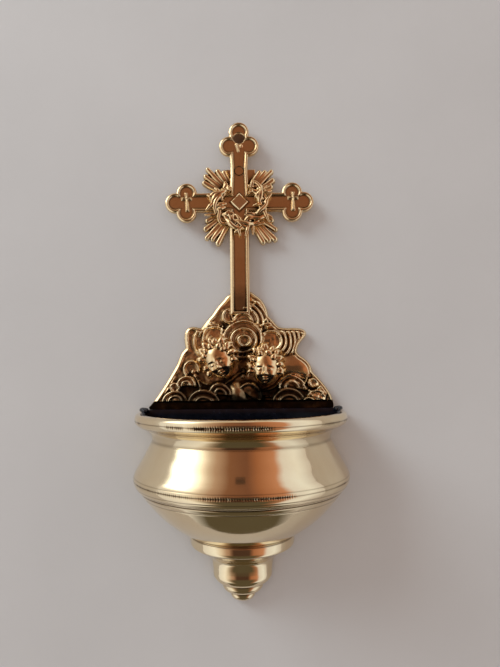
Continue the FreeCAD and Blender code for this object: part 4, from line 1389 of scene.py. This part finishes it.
def chatterRun(turns, share, seed):     # tool marks come in bursts round the body, most of them in front
    rng = np.random.default_rng(seed)
    at = np.arange(turns + 1)
    count = toolMarks["bursts"]
    bursts = np.interp(at, np.linspace(0, turns, count), rng.uniform(0, 1, count))
    drift, slow = toolMarks["drift"]
    ticks = 0.5 + 0.5 * np.sin(at * toolMarks["pace"] + drift * np.sin(at * slow))
    ticks = ticks * rng.uniform(0.4, 1.0, turns + 1)
    middle = bell((at / turns - 0.5) / toolMarks["middle"])
    return ticks * smooth((bursts + 0.4 * middle - (1 - share)) / 0.35) * (0.35 + 0.65 * middle)


def turnedHalf(name, shape, topZ, inner):       # half a turned body, cut flat at the back
    line, outward, cut, marks, cornerShade = groovedProfile(shape, topZ)
    turns = shape["turns"]
    runs = [chatterRun(turns, share, shape["seed"] + k) for k, (_, share) in enumerate(marks)]
    flatBy, flatFrom, flatReach = shape["flat"]
    verts, values = [], []
    for i in range(turns + 1):
        a = math.pi * i / turns
        depth = cut
        for (mark, _), run in zip(marks, runs):
            depth = depth + mark * run[i]
        r, z = np.concatenate([line - outward * depth[:, None], inner]).T
        deep = 1.0 - flatBy * smooth((topZ - flatFrom - z) / flatReach)
        verts.append(np.stack([-r * math.cos(a), jointY - r * math.sin(a) * deep, z], 1) * mm)
        # painted shade by groove depth and in the corners
        shade = np.clip(np.maximum(depth / turnedShade["fullDepth"], cornerShade), 0, 1)
        values.append(np.append(shade, [turnedShade["inside"]] * len(inner)))
    mesh = bpy.data.meshes.new(name)
    mesh.from_pydata(np.concatenate(verts).tolist(), [], ringFaces(turns + 1, len(values[0])))
    giveShade(mesh, "hollow", np.concatenate(values))
    body = opened(mesh)
    bmesh.ops.remove_doubles(body, verts=body.verts, dist=1e-6)
    bmesh.ops.triangulate(body, faces=[f for f in body.faces if len(f.verts) > 4])
    facedOut(body, mesh)
    finishMesh(mesh, 40)
    return newObject(name, mesh)


def makeBowl():
    floor = rimZ - bowl["profile"][-1][1]
    inner = [(0.0, floor), (0.0, floor + bowl["wall"])]
    inner += [(r, rimZ - drop) for r, drop in reversed(bowl["inner"])]
    thing = turnedHalf("turnedBowl", bowl, rimZ, inner)
    body = opened(thing.data)
    for x, drop, radius in bowl["lugs"]:
        for sign in (-1, 1):
            path = [(sign * (x - 0.6), jointY - depth, rimZ - drop) for depth in bowl["lugDepths"]]
            tubeInto(body, path, radius, 24)
    closed(body, thing.data)
    finishMesh(thing.data, 40)
    return dress(thing, turned, "bowl_shell")


def makeFinial():
    thing = turnedHalf("turnedFinial", finial, finialHigh.z, [(0.0, finialHigh.z)])
    return dress(thing, turned, "finial")


# liner

liner = {
    "wall": 1.5,
    "lip": 45.2,
    "throat": (38.1, 8.2),      # radius, drop
    "foot": (28.0, 42.0),
    "backRise": 1.7,            # how far the lip stands above the rim along the flat back
    "riseFrom": -14.0,          # where the lip starts to rise
    "riseEnd": 2.0,             # and how far before the back it is up
    "earReach": 1.6,            # rolled ears on the rim at the back corners: how far inside the full width
    "earBack": 0.9,
    "earThick": 0.85,
    "earRoot": 1.1,             # thickness of the bar that joins an ear to the cup
}


def linerRing(radius, gap, points=72, backPoints=32):       # D-shaped: an arc in front, flat at the back
    backY = linerHigh.y - gap
    start = math.asin((jointY - backY) / radius)
    ring = []
    for i in range(points + 1):
        a = start + (math.pi - 2 * start) * i / points
        ring.append((-radius * math.cos(a), jointY - radius * math.sin(a)))
    half = -ring[0][0]
    return ring + [(half - half * 2 * (i + 1) / (backPoints + 1), backY) for i in range(backPoints)]


# Radius, gap to the flat back, drop below the rim and share of the lip's rise of each ring.
def linerSection():
    wall, lip = liner["wall"], liner["lip"]
    (throat, throatDrop), (foot, floor) = liner["throat"], liner["foot"]
    outside = [(foot - 2.0, 2.0, floor, 0), (foot, 0.0, floor - 1.2, 0), (foot + 0.9, 0.0, floor - 4, 0),
               (throat, 0.0, throatDrop, 0), (lip - 1.6, 0.0, 2.2, 0), (lip - 0.2, 0.0, 0.9, 0)]
    edge = [(lip, 0.0, 0.5, 0.3), (lip, 0.0, 0.4, 0.75), (lip - 0.25, 0.25, 0.3, 0.95),
            (lip - wall / 2, wall / 2, 0.3, 1.0), (lip - wall + 0.2, wall - 0.2, 0.3, 0.9),
            (lip - wall, wall, 0.5, 0.6)]
    inside = [(lip - wall - 0.4, wall, 1.2, 0), (throat - wall, wall, throatDrop, 0),
              (foot + 0.9 - wall, wall, floor - 5, 0), (foot - wall, wall, floor - 2.6, 0),
              (foot - wall - 1.4, wall + 1.4, floor - 1.6, 0)]
    return outside + edge + inside


def addEars(body):
    lip, reach, y = liner["lip"], linerHigh.x - liner["earReach"], linerHigh.y - liner["earBack"]
    loop = [(lip - 2.6, y - 4.2, 0.9), (reach - 1.9, y - 3.4, 1.4), (reach - 1.05, y - 1.8, 1.4),
            (reach - 1.2, y - 0.2, 1.5), (lip - 2.4, y + 0.1, 1.3)]
    root = [(lip - 2.4, y - 2.0, 1.1), (reach - 2.2, y - 1.8, 0.9)]
    for sign in (-1, 1):
        for path, thick in ((curveThrough(loop, 8), liner["earThick"]), (root, liner["earRoot"])):
            tubeInto(body, [(sign * px, py, rimZ + rise) for px, py, rise in path], thick, 16)


def makeLiner():
    verts = []
    riseReach = linerHigh.y - liner["riseEnd"] - liner["riseFrom"]
    section = linerSection()
    for radius, gap, drop, share in section:
        for x, y in linerRing(radius, gap):
            back = float(smooth((y - liner["riseFrom"]) / riseReach))
            verts.append((x * mm, y * mm, (rimZ - drop + liner["backRise"] * back * share) * mm))
    mesh = bpy.data.meshes.new("navyLiner")
    mesh.from_pydata(verts, [], ringFaces(len(section), len(verts) // len(section)))
    body = opened(mesh)
    bmesh.ops.triangulate(body, faces=[f for f in body.faces if len(f.verts) > 4])
    addEars(body)
    facedOut(body, mesh)
    finishMesh(mesh, 50)
    return dress(newObject("navyLiner", mesh), navy, "liner", body="liner")


print("bowl, finial and liner")
makeBowl()
makeFinial()
makeLiner()


# CAD pieces that keep their shape

keptNodes = {
    "bowl_back": (sheet, "sheet_brass"),
    "upper_pin": (cast, "brass_fixings"),
    "foot_rivets": (fixings, "brass_fixings"),
    "plate_rivets": (fixings, "brass_fixings"),
    "back_screws": (fixings, "brass_fixings"),
    "finial_stud": (fixings, "brass_fixings"),
    "finial_nut": (fixings, "brass_fixings"),
}
for name, (material, slot) in keptNodes.items():
    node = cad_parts[name]
    node.data.materials.clear()
    node.data.materials.append(material)
print("kept CAD pieces dressed:", len(keptNodes))


# wall, floor, light and camera

studio = {
    "wallColour": (0.655, 0.645, 0.645),
    "wallPatches": 0.93,        # brightness of its darker patches
    "wallFoot": -285.0,         # shiny parts see the wall only above this height
    "wallTop": 900.0,
    "wallGap": 0.1,             # behind the object
    "reach": 1500.0,            # of wall and floor to each side
    "holeShadow": (0.11, 0.055, 0.03),        # painted shadow on the wall behind the hang hole
    "holeShadowRadius": (2.9, 4.2),
    "holeShadowRise": 1.8,
    "floorDrop": 600.0,         # below the finial
    "floorColours": ((0.60, 0.585, 0.57), (0.55, 0.535, 0.52)),
    "lamp": (-62, 38, 1.5, 0.7, 14.0),      # angle, rise, distance, size and power of the daylight
    "lampColour": (0.82, 0.95, 1.0),
    "lampAim": (0, -20, -100),
    "camera": (4.37, -231.73, -111.84),
    "lens": 26.99,
    "tiltUp": 4.58,
    "roll": 0.609,
}
# What the brass mirrors. Angles go round from straight in front, left negative, in degrees, or in radians
# for the spot, the front and the bar. Rises are the sine of the angle above the horizon.
room = {
    "backdrop": (0.60, 0.595, 0.59),
    "fill": (0.60, 0.515, 0.47),
    "round": [(-100, (0.74, 0.74, 0.76)), (-88, (0.80, 0.80, 0.82)), (-60, (0.98, 0.98, 0.96)),
              (-46, (0.80, 0.70, 0.60)), (-34, (0.50, 0.34, 0.25)), (-16, (0.24, 0.11, 0.06)),
              (8, (0.19, 0.08, 0.045)), (22, (0.36, 0.145, 0.07)), (46, (0.56, 0.26, 0.15)),
              (55, (0.78, 0.76, 0.78)), (74, (0.88, 0.91, 0.94)), (88, (0.68, 0.66, 0.67)),
              (98, (0.56, 0.53, 0.53))],
    "window": (3.2, 3.15, 3.0),
    "windowRound": (-96, -86, -68, -40),    # its sides: starts, full, full, ends
    "windowRise": (14, 24),                 # its sill, in degrees
    "windowTop": (0.78, 0.86),
    "shadow": (0.075, 0.04, 0.026),         # dark patch straight in front
    "middle": 0.02,                         # how far it is to the left
    "spotRound": (0.28, 0.46),
    "spotRise": (0.02, 0.19),
    "barRound": (0.10, 0.13),               # a small dark bar high up
    "barRise": (0.75, 0.765, 0.80, 0.815),
    "under": (0.10, 0.082, 0.05),           # the dark floor of the room
    "frontRound": (0.50, 0.95),
    "underRise": (-0.40, -0.52),            # where it starts in front
    "footRise": (-0.84, -0.93),             # and all round
    "over": (0.64, 0.55, 0.45),
    "overRise": (0.88, 0.96),
}


def stagePlane(name, corners, material):
    mesh = bpy.data.meshes.new(name)
    mesh.from_pydata([tuple(c * mm for c in p) for p in corners], [], [(0, 1, 2, 3)])
    mesh.materials.append(material)
    thing = newObject(name, mesh)
    return thing


def plasterWall():                      # seen from the room only: open from behind
    material, shader, make = newMaterial("plasterWall")
    colour = studio["wallColour"]
    patches = make.spread(make.noise(9, 4, 0.5), 0.3, 0.7)
    base = make.mix(patches, colour, tuple(c * studio["wallPatches"] for c in colour))
    # painted shadow on the wall behind the hang hole
    x, _, z = make.split(make.place())
    up = make.maths("SUBTRACT", z, studio["holeShadowRise"] * mm)
    away = make.maths("SQRT", make.maths("ADD", make.times(up, up), make.times(x, x)))
    holeShadow = make.spread(away, *(radius * mm for radius in studio["holeShadowRadius"]))
    make.link(make.mix(holeShadow, studio["holeShadow"], base), shader.inputs["Base Color"])
    shader.inputs["Roughness"].default_value = 0.9
    shader.inputs["Specular IOR Level"].default_value = 0.1
    make.link(make.bump(make.noise(260, 5, 0.6), 0.12, 0.0006), shader.inputs["Normal"])
    # rays pass from behind, shadow rays pass, and so do the mirrored ones that start right at the wall
    behind = make.add("NewGeometry").outputs["Backfacing"]
    path = make.add("LightPath")
    near = make.maths("LESS_THAN", path.outputs["Ray Length"], 0.002)
    unscattered = make.maths("LESS_THAN", path.outputs["Diffuse Depth"], 0.5)
    nearMirror = make.times(make.times(near, path.outputs["Is Glossy Ray"]), unscattered)
    seeThrough = make.maths("MAXIMUM", behind, nearMirror)
    seeThrough = make.maths("MAXIMUM", seeThrough, path.outputs["Is Shadow Ray"])
    pick = make.add("MixShader")
    make.link(seeThrough, pick.inputs[0])
    make.link(shader.outputs["BSDF"], pick.inputs[1])
    make.link(make.add("BsdfTransparent").outputs["BSDF"], pick.inputs[2])
    out = next(n for n in material.node_tree.nodes if n.type == "OUTPUT_MATERIAL")
    make.link(pick.outputs[0], out.inputs["Surface"])
    return material


def paleFloor():
    material, shader, make = newMaterial("paleFloor")
    make.link(make.mix(make.noise(6, 3), *studio["floorColours"]), shader.inputs["Base Color"])
    shader.inputs["Roughness"].default_value = 0.8
    return material


def makeRoom():
    reach, foot, top = studio["reach"], studio["wallFoot"], studio["wallTop"]
    y = wallY + studio["wallGap"]
    low = finialLow.z - studio["floorDrop"]
    plaster = plasterWall()

    def upright(name, foot, top):
        corners = [(-reach, y, foot), (reach, y, foot), (reach, y, top), (-reach, y, top)]
        return stagePlane(name, corners, plaster)

    upright("wall", foot, top)
    lower = upright("wallBelow", low, foot)
    ground = [(-reach, -reach, low), (reach, -reach, low), (reach, y, low), (-reach, y, low)]
    floor = stagePlane("floor", ground, paleFloor())
    for plane in (lower, floor):        # the brass sees the room's own dark floor
        plane.visible_glossy = False


def makeLamp():                         # a square of daylight that faces the object's middle
    angle, rise, distance, size, power = studio["lamp"]
    data = bpy.data.lights.new("window", "AREA")
    data.shape = "RECTANGLE"
    data.size = data.size_y = size
    data.energy = power
    data.color = studio["lampColour"]
    lamp = bpy.data.objects.new("window", data)
    bpy.context.scene.collection.objects.link(lamp)
    a, b = math.radians(angle), math.radians(rise)
    away = Vector((math.sin(a) * math.cos(b), -math.cos(a) * math.cos(b), math.sin(b))).normalized()
    lamp.location = Vector(studio["lampAim"]) * mm + away * distance
    lamp.rotation_mode = "QUATERNION"
    lamp.rotation_quaternion = away.to_track_quat("Z", "Y")
    lamp.visible_glossy = False         # shiny parts see the room's own window


def roomRamp(make, angle):              # the room's colours all round
    ramp = make.add("ValToRGB")
    stops = ramp.color_ramp.elements
    stops.remove(stops[1])
    for degrees, colour in room["round"]:
        stop = stops.new(0.5 + degrees / 360)
        stop.color = (*colour, 1)
    stops[0].color = (*room["round"][0][1], 1)
    make.link(make.spread(angle, -math.pi, math.pi), ramp.inputs["Fac"])
    return ramp.outputs["Color"]


def windowPane(make, angle, z):
    starts, full, wanes, ends = (math.radians(a) for a in room["windowRound"])
    sill = (math.sin(math.radians(a)) for a in room["windowRise"])
    pane = make.times(make.spread(angle, starts, full), make.fade(angle, wanes, ends))
    pane = make.times(pane, make.spread(z, *sill))
    pane = make.times(pane, make.fade(z, *room["windowTop"]))
    return make.times(pane, pane)


def makeWorld():
    world = bpy.data.worlds.new("room")
    bpy.context.scene.world = world
    world.use_nodes = True
    world.node_tree.nodes.clear()
    make = Maker(world)
    out, back = make.add("OutputWorld"), make.add("Background")
    make.link(back.outputs[0], out.inputs[0])
    x, y, z = make.split(make.add("TexCoord").outputs["Generated"])
    angle = make.maths("ARCTAN2", x, make.times(y, -1.0))
    view = make.mix(windowPane(make, angle, z), roomRamp(make, angle), room["window"])
    aside = make.maths("ABSOLUTE", make.maths("ADD", angle, room["middle"]))
    spot = make.times(make.fade(aside, *room["spotRound"]), make.fade(z, *room["spotRise"]))
    view = make.mix(spot, view, room["shadow"])
    barFoot, barFull, barWanes, barTop = room["barRise"]
    bar = make.times(make.fade(aside, *room["barRound"]), make.spread(z, barFoot, barFull))
    view = make.mix(make.times(bar, make.fade(z, barWanes, barTop)), view, room["shadow"])
    front = make.fade(make.maths("ABSOLUTE", angle), *room["frontRound"])
    below = make.times(front, make.spread(z, *room["underRise"]))
    below = make.maths("MAXIMUM", below, make.spread(z, *room["footRise"]))
    view = make.mix(below, view, room["under"])
    view = make.mix(make.spread(z, *room["overRise"]), view, room["over"])
    path = make.add("LightPath")
    plain = make.mix(path.outputs["Is Camera Ray"], room["fill"], room["backdrop"])
    make.link(make.mix(path.outputs["Is Glossy Ray"], plain, view), back.inputs["Color"])


def makeCamera():
    data = bpy.data.cameras.new("camera")
    data.sensor_width = 36.0
    data.lens = studio["lens"]
    data.clip_start = 0.01
    camera = bpy.data.objects.new("camera", data)
    bpy.context.scene.collection.objects.link(camera)
    camera.matrix_world = (Matrix.Translation(Vector(studio["camera"]) * mm)
                           @ Matrix.Rotation(math.radians(90 + studio["tiltUp"]), 4, "X")
                           @ Matrix.Rotation(-math.radians(studio["roll"]), 4, "Z"))
    bpy.context.scene.camera = camera


makeRoom()
makeLamp()
makeWorld()
makeCamera()
bpy.context.scene.view_settings.view_transform = "Standard"
print("room, lights and camera")
